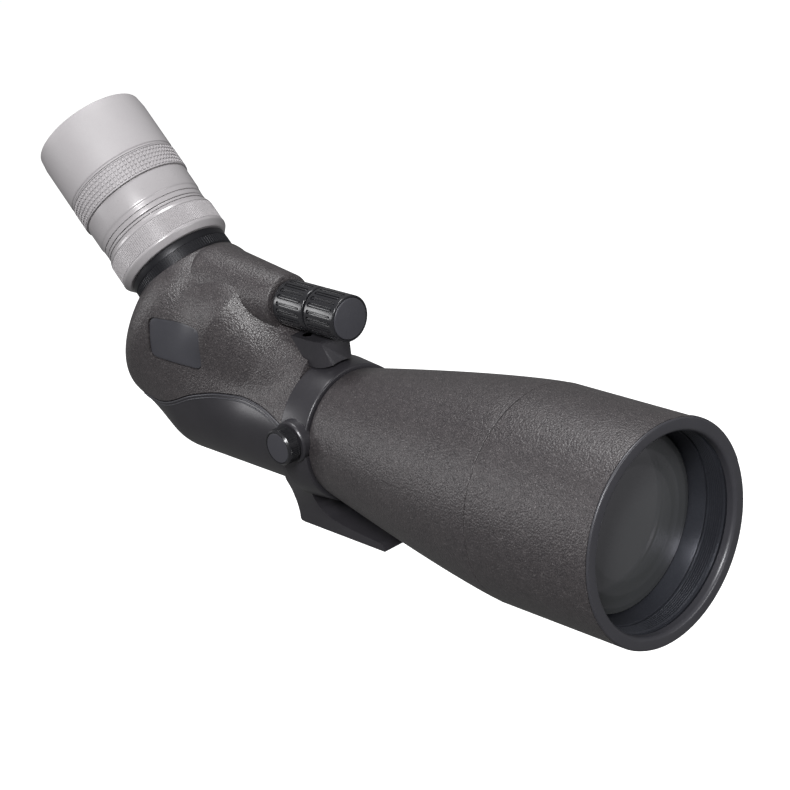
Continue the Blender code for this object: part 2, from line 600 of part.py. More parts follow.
def build_collar(optical, alloy, plastic, brass):
    """Collar, arm and foot in one casting, with its liner and its threaded insert."""
    foot = add_object("tripod_collar", prism_shape(foot_outline(), 2 * FOOT_HALF_WIDTH + 10.0), alloy)
    front_view = helper("foot_front_view", prism_shape(foot_front_outline(), 60.0, "X"))
    combine(foot, front_view, "INTERSECT")
    chamfer = 0.8
    band = [(COLLAR_REAR_X, COLLAR_LIP_RADIUS - 2.0), (COLLAR_REAR_X, COLLAR_REAR_RADIUS - chamfer),
            (COLLAR_REAR_X + chamfer, COLLAR_REAR_RADIUS), (COLLAR_FRONT_X - chamfer, COLLAR_FRONT_RADIUS),
            (COLLAR_FRONT_X, COLLAR_FRONT_RADIUS - chamfer), (COLLAR_FRONT_X, COLLAR_LIP_RADIUS - 2.0)]
    combine(foot, helper("collar_band", turned_shape(band, STEPS), optical), "UNION")
    clamp_z = AXIS_HEIGHT + CLAMP_RISE
    boss = rod_shape((COLLAR_X, -JOURNAL_RADIUS, clamp_z), (COLLAR_X, -BOSS_REACH, clamp_z), BOSS_RADIUS)
    combine(foot, helper("clamp_boss", boss), "UNION")
    liner_rear = COLLAR_REAR_X + LINER_EDGE
    liner_front = COLLAR_FRONT_X - LINER_EDGE
    groove = LINER_RADIUS + LINER_WALL + GAP
    room = HOUSING_RADIUS + 5 * GAP
    far_rear, far_front = FOOT_REAR_X - 20.0, FOOT_FRONT_X + 20.0
    bore = [(far_rear, 0.0), (far_rear, room), (COLLAR_REAR_X - GAP, room), (COLLAR_REAR_X, room),
            (COLLAR_REAR_X, COLLAR_LIP_RADIUS), (liner_rear - GAP, COLLAR_LIP_RADIUS), (liner_rear - GAP, groove),
            (liner_front + GAP, groove), (liner_front + GAP, COLLAR_LIP_RADIUS), (COLLAR_FRONT_X, COLLAR_LIP_RADIUS),
            (COLLAR_FRONT_X, room), (far_front, room), (far_front, 0.0)]
    combine(foot, helper("collar_bore", turned_shape(bore, STEPS), optical), "DIFFERENCE")
    pocket_end = groove + SHOE_LENGTH + CLAMP_TRAVEL
    pocket = helper("shoe_pocket", rod_shape((COLLAR_X, -JOURNAL_RADIUS + 8.0, clamp_z),
                                             (COLLAR_X, -pocket_end + 0.9, clamp_z), SHOE_RADIUS + GAP))
    combine(foot, pocket, "DIFFERENCE")
    hole = rod_shape((COLLAR_X, -groove, clamp_z), (COLLAR_X, -BOSS_REACH - 2.0, clamp_z),
                     CLAMP_SHANK_RADIUS + GAP)
    combine(foot, helper("clamp_hole", hole), "DIFFERENCE")
    socket = rod_shape((INSERT_X, 0, -2.0), (INSERT_X, 0, INSERT_HEIGHT + GAP), INSERT_RADIUS + GAP)
    combine(foot, helper("insert_socket", socket), "DIFFERENCE")
    pin = rod_shape((PIN_HOLE_X, 0, -2.0), (PIN_HOLE_X, 0, PIN_HOLE_DEPTH), PIN_HOLE_RADIUS)
    combine(foot, helper("pin_socket", pin), "DIFFERENCE")
    liner = ring("collar_liner", liner_rear, liner_front, LINER_RADIUS, LINER_RADIUS + LINER_WALL, plastic,
                 optical, STEPS)
    combine(liner, pocket, "DIFFERENCE")
    stand = axis_empty("insert_axis", (INSERT_X, 0.0, 0.0), -math.pi / 2)
    ring("foot_insert", GAP, INSERT_HEIGHT, INSERT_HOLE_RADIUS, INSERT_RADIUS, brass, stand)
    return clamp_z


def build_clamp(clamp_z, black, plastic, steel):
    """The clamp knob on its shank, its cap and the shoe that it presses on the journal."""
    clamp = axis_empty("clamp_axis", (COLLAR_X, 0.0, clamp_z))
    clamp.rotation_euler = (0.0, 0.0, -math.pi / 2)
    shoe_start = math.sqrt(LINER_RADIUS ** 2 - CLAMP_RISE ** 2) + 0.5
    shoe_end = shoe_start + SHOE_LENGTH
    turned("clamp_shoe", [(shoe_start, 0.0), (shoe_start, SHOE_RADIUS - 1.2), (shoe_start + 0.5, SHOE_RADIUS),
                          (shoe_end, SHOE_RADIUS), (shoe_end, 0.0)], plastic, clamp)
    knob_start = BOSS_REACH + GAP
    knob_end = knob_start + CLAMP_KNOB_LENGTH
    cap_floor = knob_end - CLAMP_CAP_DEPTH - GAP
    turned("clamp_knob", [(shoe_end + GAP, 0.0), (shoe_end + GAP, CLAMP_SHANK_RADIUS),
                          (knob_start, CLAMP_SHANK_RADIUS), (knob_start, CLAMP_KNOB_RADIUS - 0.5),
                          (knob_start + 0.5, CLAMP_KNOB_RADIUS), (knob_end - 0.6, CLAMP_KNOB_RADIUS),
                          (knob_end, CLAMP_KNOB_RADIUS - 0.6), (knob_end, CLAMP_CAP_RADIUS + GAP),
                          (cap_floor, CLAMP_CAP_RADIUS + GAP), (cap_floor, 0.0)], black, clamp, 24)
    turned("clamp_knob_cap", [(cap_floor + GAP, 0.0), (cap_floor + GAP, CLAMP_CAP_RADIUS),
                              (knob_end, CLAMP_CAP_RADIUS), (knob_end, 0.0)], steel, clamp, 24)


def seam_prism(shift):
    """The space below the parting line, moved up or down by shift."""
    line = [(x, z + AXIS_HEIGHT + shift) for x, z in SEAM]
    low = -20.0
    outline = line + [(line[-1][0], low), (line[0][0], low)]
    return prism_shape(outline, 2 * HOUSING_RADIUS)


def plate_matrix():
    """Place of the blank plate on the housing's right side."""
    where = Vector((PLATE_X, 0.0, AXIS_HEIGHT + PLATE_RISE)) * MM
    return Matrix.Translation(where) @ Matrix.Rotation(math.radians(-PLATE_TILT), 4, "Y")


def plate_shape(grow, near, far):
    """A block with cut corners across the right side, at the plate's place."""
    half_x, half_z = PLATE_SIZE[0] / 2 + grow, PLATE_SIZE[1] / 2 + grow
    cut = 3.0
    outline = [(half_x, half_z - cut), (half_x - cut, half_z), (cut - half_x, half_z), (-half_x, half_z - cut),
               (-half_x, cut - half_z), (cut - half_x, -half_z), (half_x - cut, -half_z), (half_x, cut - half_z)]
    shape = prism_shape(outline, (far - near) / 2)
    bmesh.ops.translate(shape, verts=shape.verts, vec=(0.0, -(near + far) / 2 * MM, 0.0))
    bmesh.ops.transform(shape, matrix=plate_matrix(), verts=shape.verts)
    return shape


def plate_depth():
    """Distance of the housing's right side from the middle plane at the plate."""
    start = Vector((PLATE_X, 0.0, PLATE_RISE))
    return housing_reach(start, Vector((0.0, -1.0, 0.0)), 0.0)


def build_housing(optical, eye, focus, armour, paint, plate_finish):
    """Upper shell, belly cover and the blank plate in its recess."""
    skin = housing_blob(0.0, HOUSING_COLUMNS, HOUSING_ROWS, HOUSING_FRONT_X)
    shell = add_object("housing_shell", skin, armour)
    belly = add_object("belly_cover", skin_copy(shell), paint)
    turret = turned_shape([(TURRET_REAR_X - TURRET_REAR_RADIUS / 2, 0.0),
                           (TURRET_REAR_X - TURRET_REAR_RADIUS / 2, TURRET_REAR_RADIUS * 0.7),
                           (TURRET_REAR_X, TURRET_REAR_RADIUS), (TURRET_FRONT_X - 1.0, TURRET_FRONT_RADIUS),
                           (TURRET_FRONT_X, TURRET_FRONT_RADIUS - 1.0), (TURRET_FRONT_X, 0.0)], 32)
    combine(shell, helper("turret_cone", turret, focus), "UNION")
    port_face = turned_shape([(NECK_LENGTH, 0.0), (NECK_LENGTH, 2 * NECK_RADIUS),
                              (NECK_LENGTH + 3 * NECK_RADIUS, 2 * NECK_RADIUS),
                              (NECK_LENGTH + 3 * NECK_RADIUS, 0.0)], 32)
    combine(shell, helper("port_face", port_face, eye), "DIFFERENCE")
    cavity = housing_blob(HOUSING_WALL, CAVITY_COLUMNS, CAVITY_ROWS, CAVITY_FRONT_X)
    hollow = helper("housing_cavity", cavity)
    neck_floor = turned_shape([(NECK_LENGTH - HOUSING_WALL, 0.0), (NECK_LENGTH - HOUSING_WALL, 2 * NECK_RADIUS),
                               (NECK_LENGTH + 4 * NECK_RADIUS, 2 * NECK_RADIUS),
                               (NECK_LENGTH + 4 * NECK_RADIUS, 0.0)], 32)
    combine(hollow, helper("neck_floor", neck_floor, eye), "DIFFERENCE")
    bore_rear = FOCUS_CELL_X - FOCUS_CELL_WIDTH / 2 - 3.0
    bore = turned_shape([(bore_rear, 0.0), (bore_rear, SPIGOT_RADIUS + GAP),
                         (HOUSING_FRONT_X + 2.0, SPIGOT_RADIUS + GAP), (HOUSING_FRONT_X + 2.0, 0.0)], STEPS)
    front_bore = helper("housing_bore", bore, optical)
    for piece in (shell, belly):
        combine(piece, hollow, "DIFFERENCE")
        combine(piece, front_bore, "DIFFERENCE")
    neck_end = NECK_LENGTH + 2.0
    neck_start = NECK_LENGTH - 3 * HOUSING_WALL
    neck = turned_shape([(neck_start, 0.0), (neck_start, PORT_BORE), (neck_end, PORT_BORE), (neck_end, 0.0)], 32)
    combine(shell, helper("neck_bore", neck, eye), "DIFFERENCE")
    notch_side = PEDESTAL_HALF_WIDTH + GAP
    notch = box_shape((PEDESTAL_REAR_X - GAP, -notch_side, pedestal_seat() - GAP),
                      (HOUSING_FRONT_X + 60.0, notch_side, AXIS_HEIGHT + 2 * FOCUS_AXIS_HEIGHT))
    combine(shell, helper("knob_notch", notch), "DIFFERENCE")
    room_radius = KNOB_RADIUS + 2 * GAP
    knob_room = turned_shape([(TURRET_FRONT_X, 0.0), (TURRET_FRONT_X, room_radius),
                              (HOUSING_FRONT_X + 60.0, room_radius), (HOUSING_FRONT_X + 60.0, 0.0)], STEPS)
    combine(shell, helper("knob_room", knob_room, focus), "DIFFERENCE")
    bush_radius = SHAFT_RADIUS + BUSH_WALL + 2 * GAP
    chamber_front = TURRET_FRONT_X - BUSH_LENGTH - GAP
    chamber_rear = SHAFT_REAR_X - 3.0
    bush_bore = turned_shape([(chamber_rear, 0.0), (chamber_rear, CHAMBER_RADIUS), (chamber_front, CHAMBER_RADIUS),
                              (chamber_front, bush_radius), (TURRET_FRONT_X + 2.0, bush_radius),
                              (TURRET_FRONT_X + 2.0, 0.0)], SMALL_STEPS)
    combine(shell, helper("bush_bore", bush_bore, focus), "DIFFERENCE")
    side = plate_depth()
    recess = plate_shape(GAP, side - PLATE_DEPTH, side + 20.0)
    combine(shell, helper("plate_recess", recess), "DIFFERENCE")
    combine(shell, helper("below_seam", seam_prism(GAP)), "DIFFERENCE")
    combine(belly, helper("belly_space", seam_prism(0.0)), "INTERSECT")
    plate = plate_shape(0.0, side - PLATE_DEPTH + GAP, side - PLATE_DEPTH + GAP + PLATE_THICKNESS)
    add_object("name_plate", plate, plate_finish)


def skin_copy(thing):
    """A bmesh of another object's own mesh."""
    shape = bmesh.new()
    shape.from_mesh(thing.data)
    return shape


def pedestal_seat():
    """Height of the pedestal's underside on the housing."""
    return AXIS_HEIGHT + HOUSING_RADIUS + 1.6


def build_focus_drive(focus, paint, black, steel, brass, cap_finish):
    """Pedestal, bush, shaft, both knobs and the fine spindle."""
    axis = AXIS_HEIGHT + FOCUS_AXIS_HEIGHT
    low = AXIS_HEIGHT + COLLAR_REAR_RADIUS + PEDESTAL_CLEARANCE
    seat = pedestal_seat()
    high = axis - KNOB_RADIUS - GAP
    rear = PEDESTAL_REAR_X
    outline = [(rear, seat), (HOUSING_FRONT_X - GAP, seat), (HOUSING_FRONT_X + GAP, low),
               (PEDESTAL_FRONT_X, low), (PEDESTAL_FRONT_X - PEDESTAL_SLOPE, high), (rear, high)]
    pedestal = add_object("focus_pedestal", prism_shape(outline, PEDESTAL_HALF_WIDTH), paint)
    bush_outer = SHAFT_RADIUS + GAP + BUSH_WALL
    ring("focus_bush", TURRET_FRONT_X - BUSH_LENGTH, TURRET_FRONT_X, SHAFT_RADIUS + GAP, bush_outer, brass, focus)
    spindle_hole = SPINDLE_RADIUS + GAP
    turned("focus_shaft", [(SHAFT_REAR_X, 0.0), (SHAFT_REAR_X, SHAFT_RADIUS), (COARSE_FRONT_X - 2.0, SHAFT_RADIUS),
                           (COARSE_FRONT_X - 2.0, spindle_hole), (SPINDLE_REAR_X - GAP, spindle_hole),
                           (SPINDLE_REAR_X - GAP, 0.0)], steel, focus)
    turned("coarse_focus_knob", knob_profile(COARSE_REAR_X, COARSE_FRONT_X, SHAFT_RADIUS + GAP), black, focus, 24)
    cap_floor = FINE_FRONT_X - CAP_THICKNESS
    profile = knob_profile(FINE_REAR_X, FINE_FRONT_X, spindle_hole)
    profile[-2:] = [(FINE_FRONT_X, CAP_RADIUS + GAP), (cap_floor - GAP, CAP_RADIUS + GAP),
                    (cap_floor - GAP, spindle_hole)]
    turned("fine_focus_knob", profile, black, focus, 24)
    turned("fine_spindle", [(SPINDLE_REAR_X, 0.0), (SPINDLE_REAR_X, SPINDLE_RADIUS),
                            (cap_floor - 2 * GAP, SPINDLE_RADIUS), (cap_floor - 2 * GAP, 0.0)], steel, focus)
    turned("fine_knob_cap", [(cap_floor, 0.0), (cap_floor, CAP_RADIUS), (FINE_FRONT_X + 0.4, CAP_RADIUS),
                             (FINE_FRONT_X + 0.4, 0.0)], cap_finish, focus, 24)
    x = (PEDESTAL_REAR_X + HOUSING_FRONT_X) / 2
    for number, y in enumerate((-PEDESTAL_SCREW_SPREAD, PEDESTAL_SCREW_SPREAD), 1):
        hole = rod_shape((x, y, seat - 2.0), (x, y, high + 2.0), SCREW_SHANK_RADIUS + GAP, 12)
        combine(pedestal, helper(f"pedestal_hole_{number}", hole), "DIFFERENCE")
        sink = rod_shape((x, y, high - SCREW_HEAD_HEIGHT - GAP), (x, y, high + 2.0), SCREW_HEAD_RADIUS + GAP, 12)
        combine(pedestal, helper(f"pedestal_sink_{number}", sink), "DIFFERENCE")
        screw(f"pedestal_screw_{number}", (x, y, high - SCREW_HEAD_HEIGHT), -1.0, high - seat - 2.0, steel)


def knob_profile(rear, front, bore):
    """A plain knob with chamfered edges and a bore."""
    chamfer = 0.6
    return [(rear, bore), (rear, KNOB_RADIUS - chamfer), (rear + chamfer, KNOB_RADIUS),
            (front - chamfer, KNOB_RADIUS), (front, KNOB_RADIUS - chamfer), (front, bore)]


def screw(name, seat, way, length, steel):
    """A small pan-head screw; way is +1 when its shank points up and -1 when it points down."""
    stand = axis_empty(name + "_axis", seat, -way * math.pi / 2)
    turned(name, [(-SCREW_HEAD_HEIGHT, 0.0), (-SCREW_HEAD_HEIGHT, SCREW_HEAD_RADIUS), (0.0, SCREW_HEAD_RADIUS),
                  (0.0, SCREW_SHANK_RADIUS), (length, SCREW_SHANK_RADIUS), (length, 0.0)], steel, stand, 12)


def build_focus_carriage(optical, black, glass, steel):
    """The focusing cell with its drive arm and nut, its lens and its two guide rods."""
    axis = AXIS_HEIGHT + FOCUS_AXIS_HEIGHT
    rear, front = FOCUS_CELL_X - FOCUS_CELL_WIDTH / 2, FOCUS_CELL_X + FOCUS_CELL_WIDTH / 2
    lip = FOCUS_LENS_RADIUS - 1.0
    seat = FOCUS_LENS_RADIUS + GAP
    profile = [(rear, lip), (rear, FOCUS_CELL_RADIUS), (front, FOCUS_CELL_RADIUS), (front, seat),
               (rear + 2.0, seat), (rear + 2.0, lip)]
    cell = turned("focus_cell", profile, black, optical, 24)
    bar_low = AXIS_HEIGHT + FOCUS_CELL_RADIUS - ARM_THICKNESS - 1.4
    half = ARM_WIDTH / 2
    bar = box_shape((NUT_X, -half, bar_low), (rear + 4.0, half, bar_low + ARM_THICKNESS))
    post = box_shape((NUT_X, -half + 0.1, bar_low + 0.2), (NUT_X + NUT_WIDTH, half - 0.1, axis))
    nut = rod_shape((NUT_X, 0, axis), (NUT_X + NUT_WIDTH - 0.2, 0, axis), NUT_RADIUS)
    for label, shape in (("drive_bar", bar), ("drive_post", post), ("drive_nut", nut)):
        combine(cell, helper(label, shape), "UNION")
    thread = rod_shape((NUT_X - 4.0, 0, axis), (NUT_X + NUT_WIDTH + 4.0, 0, axis), SHAFT_RADIUS + GAP)
    combine(cell, helper("nut_thread", thread), "DIFFERENCE")
    for side, label in ((-1.0, "right"), (1.0, "left")):
        y = side * ROD_SPREAD
        hole = rod_shape((rear - 3.0, y, AXIS_HEIGHT), (front + 3.0, y, AXIS_HEIGHT), ROD_RADIUS + GAP, 12)
        combine(cell, helper(f"rod_hole_{label}", hole), "DIFFERENCE")
        rod = rod_shape((CARRIER_X + GAP + 1.0, y, AXIS_HEIGHT), (CAVITY_FRONT_X - GAP, y, AXIS_HEIGHT),
                        ROD_RADIUS, 12)
        add_object(f"guide_rod_{label}", rod, steel)
    middle = rear + 2.0 + GAP
    lens("focus_lens", middle, middle + FOCUS_LENS_WIDTH, 1.0, -1.5, FOCUS_LENS_RADIUS, glass, optical)


def raised(outline):
    """An (x, z) outline given from the optical axis, moved to its height."""
    return [(x, z + AXIS_HEIGHT) for x, z in outline]


def build_prisms(optical, black, glass, steel):
    """Carrier with its two side plates, two prisms and the strap behind them."""
    plate = [(CARRIER_X, CARRIER_HOLE), (CARRIER_X, CARRIER_RADIUS), (CARRIER_X + CARRIER_PLATE, CARRIER_RADIUS),
             (CARRIER_X + CARRIER_PLATE, CARRIER_HOLE)]
    carrier = turned("prism_carrier", plate, black, optical, 24)
    inner = PRISM_HALF_WIDTH + GAP
    middle = inner + SIDE_PLATE / 2
    outline = raised([(CARRIER_X + 1.0, -16.0), (CARRIER_X + 1.0, 16.0), (-78.0, 30.0), (-106.0, 24.0),
                      (-115.0, 12.0), (-114.0, 2.0), (-96.0, -10.5), (-88.0, -15.0)])
    for side, label in ((-1.0, "right"), (1.0, "left")):
        shape = prism_shape(outline, SIDE_PLATE / 2)
        bmesh.ops.translate(shape, verts=shape.verts, vec=(0.0, side * middle * MM, 0.0))
        combine(carrier, helper(f"side_plate_{label}", shape), "UNION")
        y = side * ROD_SPREAD
        socket = rod_shape((CARRIER_X + 1.0, y, AXIS_HEIGHT), (CARRIER_X + CARRIER_PLATE + 3.0, y, AXIS_HEIGHT),
                           ROD_RADIUS + GAP, 12)
        combine(carrier, helper(f"rod_socket_{label}", socket), "DIFFERENCE")
    slot = box_shape((CARRIER_X - 3.0, -ARM_WIDTH / 2 - 1.0, AXIS_HEIGHT + CARRIER_HOLE - 4.0),
                     (CARRIER_X + CARRIER_PLATE + 3.0, ARM_WIDTH / 2 + 1.0, AXIS_HEIGHT + CARRIER_RADIUS + 5.0))
    combine(carrier, helper("arm_slot", slot), "DIFFERENCE")
    add_object("erecting_prism", prism_shape(raised(ERECTING_PRISM), PRISM_HALF_WIDTH), glass)
    add_object("exit_prism", prism_shape(raised(EXIT_PRISM), PRISM_HALF_WIDTH), glass)
    (x1, z1), (x2, z2) = raised(ERECTING_PRISM)[2:4]
    away = Vector((x2 - x1, z2 - z1)).orthogonal().normalized()
    if away.x > 0.0:
        away = -away
    offset = [(x1, z1), (x2, z2)]
    inner_line = [(x + away.x * GAP, z + away.y * GAP) for x, z in offset]
    outer_line = [(x + away.x * (GAP + STRAP_THICKNESS), z + away.y * (GAP + STRAP_THICKNESS)) for x, z in offset]
    strap = prism_shape(inner_line + outer_line[::-1], PRISM_HALF_WIDTH + SIDE_PLATE)
    add_object("prism_strap", strap, steel)


def build_port(eye, black, rubber):
    """The ribbed port ring that the eyepiece seats on."""
    start = NECK_LENGTH + GAP
    chamfer = 0.5
    profile = [(start, PORT_BORE), (start, PORT_RADIUS - chamfer), (start + chamfer, PORT_RADIUS),
               (PORT_END - chamfer, PORT_RADIUS), (PORT_END, PORT_RADIUS - chamfer), (PORT_END, PORT_BORE)]
    turned("port_ring", profile, black, eye, 32)
    middle = STUB_START + 6.0
    ring("port_seal", middle - SEAL_WIDTH / 2, middle + SEAL_WIDTH / 2, PORT_BORE - GAP - SEAL_DEPTH,
         PORT_BORE - GAP, rubber, eye, 32)
    return middle


def build_eyepiece(eye, seal_place, shell, black, rubber, glass, steel):
    """Barrel with its base flange, the zoom ring and grip, the zoom cell, the eyecup and the glass."""
    stub = PORT_BORE - GAP
    base = PORT_END + GAP
    slope = 2.4
    profile = [(STUB_START, BARREL_BORE), (STUB_START, stub)] + seal_groove(seal_place, stub)
    profile += [(base, stub), (base, BASE_RADIUS - slope), (base + slope, BASE_RADIUS),
                (BASE_FLANGE_END, BASE_RADIUS), (BASE_FLANGE_END, GROOVE_RADIUS), (BASE_END, GROOVE_RADIUS),
                (BASE_END, BARREL_RADIUS), (BARREL_END, BARREL_RADIUS), (BARREL_END, BARREL_BORE)]
    barrel = turned("eyepiece_barrel", profile, shell, eye, 32)
    pin_x = ZOOM_CELL_START + ZOOM_CELL_LENGTH / 2
    slot = box_shape((pin_x - PIN_RADIUS - GAP, -PIN_RADIUS - GAP, BARREL_BORE - 3.0),
                     (pin_x + ZOOM_TRAVEL + PIN_RADIUS + GAP, PIN_RADIUS + GAP, BARREL_RADIUS + 3.0))
    combine(barrel, helper("zoom_slot", slot, eye), "DIFFERENCE")
    ring_bore = BARREL_RADIUS + GAP
    relief = ring_bore + 2.4
    grip_floor = GRIP_RADIUS - GRIP_WALL
    profile = [(ZOOM_START, ring_bore), (ZOOM_START, GROOVE_RADIUS), (ZOOM_START + 4.6, GROOVE_RADIUS),
               (ZOOM_START + 5.2, ZOOM_RADIUS), (GRIP_START - GAP, ZOOM_RADIUS), (GRIP_START - GAP, grip_floor - GAP),
               (ZOOM_END, grip_floor - GAP), (ZOOM_END, ring_bore), (pin_x + ZOOM_TRAVEL + 3.0, ring_bore),
               (pin_x + ZOOM_TRAVEL + 3.0, relief), (pin_x - 3.0, relief), (pin_x - 3.0, ring_bore)]
    turned("zoom_ring", profile, shell, eye, 32)
    ring("zoom_grip", GRIP_START, ZOOM_END, grip_floor, GRIP_RADIUS, rubber, eye, 32)
    cell_end = ZOOM_CELL_START + ZOOM_CELL_LENGTH
    seat = ZOOM_LENS_RADIUS + GAP
    lip = ZOOM_LENS_RADIUS - 1.0
    profile = [(ZOOM_CELL_START, lip), (ZOOM_CELL_START, BARREL_BORE - GAP), (cell_end, BARREL_BORE - GAP),
               (cell_end, seat), (ZOOM_CELL_START + 2.0, seat), (ZOOM_CELL_START + 2.0, lip)]
    cell = turned("zoom_cell", profile, black, eye, 20)
    pin_hole = rod_shape((pin_x, 0, seat - 0.9), (pin_x, 0, BARREL_BORE + 2.0), PIN_RADIUS + GAP, 12)
    combine(cell, helper("pin_hole", pin_hole, eye), "DIFFERENCE")
    add_object("zoom_pin", rod_shape((pin_x, 0, seat + 0.4), (pin_x, 0, relief - 0.6), PIN_RADIUS, 12), steel, eye)
    start = ZOOM_CELL_START + 2.0 + GAP
    lens("zoom_lens", start, start + 4.0, 0.8, -0.8, ZOOM_LENS_RADIUS, glass, eye)
    start = STUB_START + 3.0
    ring("field_stop", start - 1.8, start - GAP, FIELD_LENS_RADIUS - 2.0, BARREL_BORE - GAP, black, eye)
    lens("field_lens", start, start + FIELD_LENS_WIDTH, 0.6, 1.2, BARREL_BORE - GAP, glass, eye)
    end = BARREL_END - 1.0
    lens("eye_lens", end - EYE_LENS_WIDTH - 2.0, end - 2.0, -1.2, 1.2, EYE_LENS_RADIUS, glass, eye)
    profile = [(end - EYE_LENS_WIDTH - 3.6, EYE_LENS_RADIUS - 1.2), (end - EYE_LENS_WIDTH - 3.6, BARREL_BORE - GAP),
               (end, BARREL_BORE - GAP), (end, EYE_LENS_RADIUS + GAP),
               (end - EYE_LENS_WIDTH - 2.3, EYE_LENS_RADIUS + GAP), (end - EYE_LENS_WIDTH - 2.3, EYE_LENS_RADIUS - 1.2)]
    turned("eye_lens_cell", profile, black, eye)
    guide_bore = BARREL_RADIUS + GAP
    guide_radius = guide_bore + GUIDE_WALL
    ring("eyecup_guide", CUP_START, BARREL_END - 2.0, guide_bore, guide_radius, black, eye, 32)
    profile = [(CUP_START, guide_radius + GAP), (CUP_START, CUP_RADIUS), (CUP_END - 1.2, CUP_RADIUS),
               (CUP_END, CUP_RADIUS - 1.0), (CUP_END - 0.4, CUP_RADIUS - CUP_WALL),
               (BARREL_END + 4.0, CUP_RADIUS - CUP_WALL - 0.8), (BARREL_END + 2.4, EYE_LENS_RADIUS + 3.5),
               (BARREL_END + 0.4, EYE_LENS_RADIUS + 3.5), (BARREL_END + 0.4, guide_radius + GAP)]
    turned("eyecup", profile, rubber, eye, 32)


def build_screws(steel):
    """Two screws through the belly cover from below."""
    for number, x in enumerate((-46.0, -84.0), 1):
        reach = housing_reach(Vector((x, 0.0, 0.0)), Vector((0, 0, -1)), 0.0)
        seat = AXIS_HEIGHT - reach + 1.6
        hole = rod_shape((x, 0, seat - 6.0), (x, 0, seat + 12.0), SCREW_SHANK_RADIUS + GAP, 12)
        sink = rod_shape((x, 0, seat - 6.0), (x, 0, seat), SCREW_HEAD_RADIUS + GAP, 12)
        belly = bpy.data.objects["belly_cover"]
        combine(belly, helper(f"belly_hole_{number}", hole), "DIFFERENCE")
        combine(belly, helper(f"belly_sink_{number}", sink), "DIFFERENCE")
        screw(f"belly_screw_{number}", (x, 0.0, seat - GAP), 1.0, SCREW_LENGTH, steel)


def main():
    """Build the whole scope."""
    clear_scene()
    optical = axis_empty("optical_axis", (0.0, 0.0, AXIS_HEIGHT))
    focus = axis_empty("focus_axis", (0.0, 0.0, AXIS_HEIGHT + FOCUS_AXIS_HEIGHT))
    eye = axis_empty("eyepiece_axis", (EYE_AXIS_X, 0.0, AXIS_HEIGHT), -(math.pi - LEAN))
    armour = finish_material("pebbled_armour", (0.060, 0.058, 0.064), 0.55, 0.0)
    paint = finish_material("satin_charcoal_paint", (0.085, 0.083, 0.090), 0.42, 0.15)
    black = finish_material("black_anodised", (0.012, 0.012, 0.014), 0.40, 0.3)
    soft_black = finish_material("black_rubber", (0.015, 0.015, 0.017), 0.75, 0.0)
    pale = finish_material("pale_grey_shell", (0.52, 0.50, 0.51), 0.40, 0.0)
    pale_rubber = finish_material("pale_grey_rubber", (0.50, 0.49, 0.50), 0.65, 0.0)
    glass = finish_material("coated_glass", (0.10, 0.16, 0.15), 0.05, 0.0)
    steel = finish_material("steel", (0.45, 0.45, 0.46), 0.30, 1.0)
    brass = finish_material("brass", (0.60, 0.45, 0.20), 0.35, 1.0)
    build_main_tube(optical, armour, soft_black, black)
    build_hood(optical, armour, soft_black)
    build_objective(optical, black, glass, black)
    clamp_z = build_collar(optical, paint, soft_black, brass)
    build_clamp(clamp_z, soft_black, soft_black, paint)
    build_housing(optical, eye, focus, armour, paint, paint)
    build_focus_drive(focus, paint, soft_black, steel, brass, paint)
    build_focus_carriage(optical, black, glass, steel)
    build_prisms(optical, black, glass, steel)
    seal_place = build_port(eye, black, soft_black)
    build_eyepiece(eye, seal_place, pale, black, pale_rubber, glass, steel)
    build_screws(steel)


main()
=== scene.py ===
"""Looks of an angled spotting scope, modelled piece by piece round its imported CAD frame."""
import logging
import math
from dataclasses import dataclass, field
from enum import Enum
from typing import Any, Sequence

import bpy
import numpy as np
from mathutils import Matrix, Vector


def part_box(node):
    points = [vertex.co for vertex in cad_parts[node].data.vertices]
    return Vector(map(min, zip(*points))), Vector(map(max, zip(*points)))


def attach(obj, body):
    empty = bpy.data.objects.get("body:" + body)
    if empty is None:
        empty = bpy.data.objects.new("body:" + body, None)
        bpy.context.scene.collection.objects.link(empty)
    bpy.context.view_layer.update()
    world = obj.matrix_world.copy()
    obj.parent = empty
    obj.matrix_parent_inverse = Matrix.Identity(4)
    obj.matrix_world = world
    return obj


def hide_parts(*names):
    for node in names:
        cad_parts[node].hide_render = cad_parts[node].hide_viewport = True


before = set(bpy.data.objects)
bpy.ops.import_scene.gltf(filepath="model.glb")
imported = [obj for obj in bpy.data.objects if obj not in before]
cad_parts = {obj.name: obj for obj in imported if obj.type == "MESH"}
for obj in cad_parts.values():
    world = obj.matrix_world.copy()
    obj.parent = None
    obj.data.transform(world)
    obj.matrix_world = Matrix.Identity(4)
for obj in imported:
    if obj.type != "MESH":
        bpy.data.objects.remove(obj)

LOG = logging.getLogger("spotting_scope")
MM = 0.001
GAP = 0.3
AXIS_HEIGHT = 46.2
FOCUS_HEIGHT = 100.5
EYE_AXIS_X = -50.7
LEAN = math.radians(45.0)
CLAMP_X = -5.5
CLAMP_HEIGHT = 51.7
ROUND_STEPS = 160

Piece = bpy.types.Object
Point = Sequence[float]
Colour = tuple[float, float, float]

OPTICAL = Matrix.Translation((0.0, 0.0, AXIS_HEIGHT * MM))
FOCUS = Matrix.Translation((0.0, 0.0, FOCUS_HEIGHT * MM))
EYE = Matrix.Translation((EYE_AXIS_X * MM, 0.0, AXIS_HEIGHT * MM)) @ Matrix.Rotation(LEAN - math.pi, 4, "Y")
CLAMP = Matrix.Translation((CLAMP_X * MM, 0.0, CLAMP_HEIGHT * MM)) @ Matrix.Rotation(-math.pi / 2, 4, "Z")


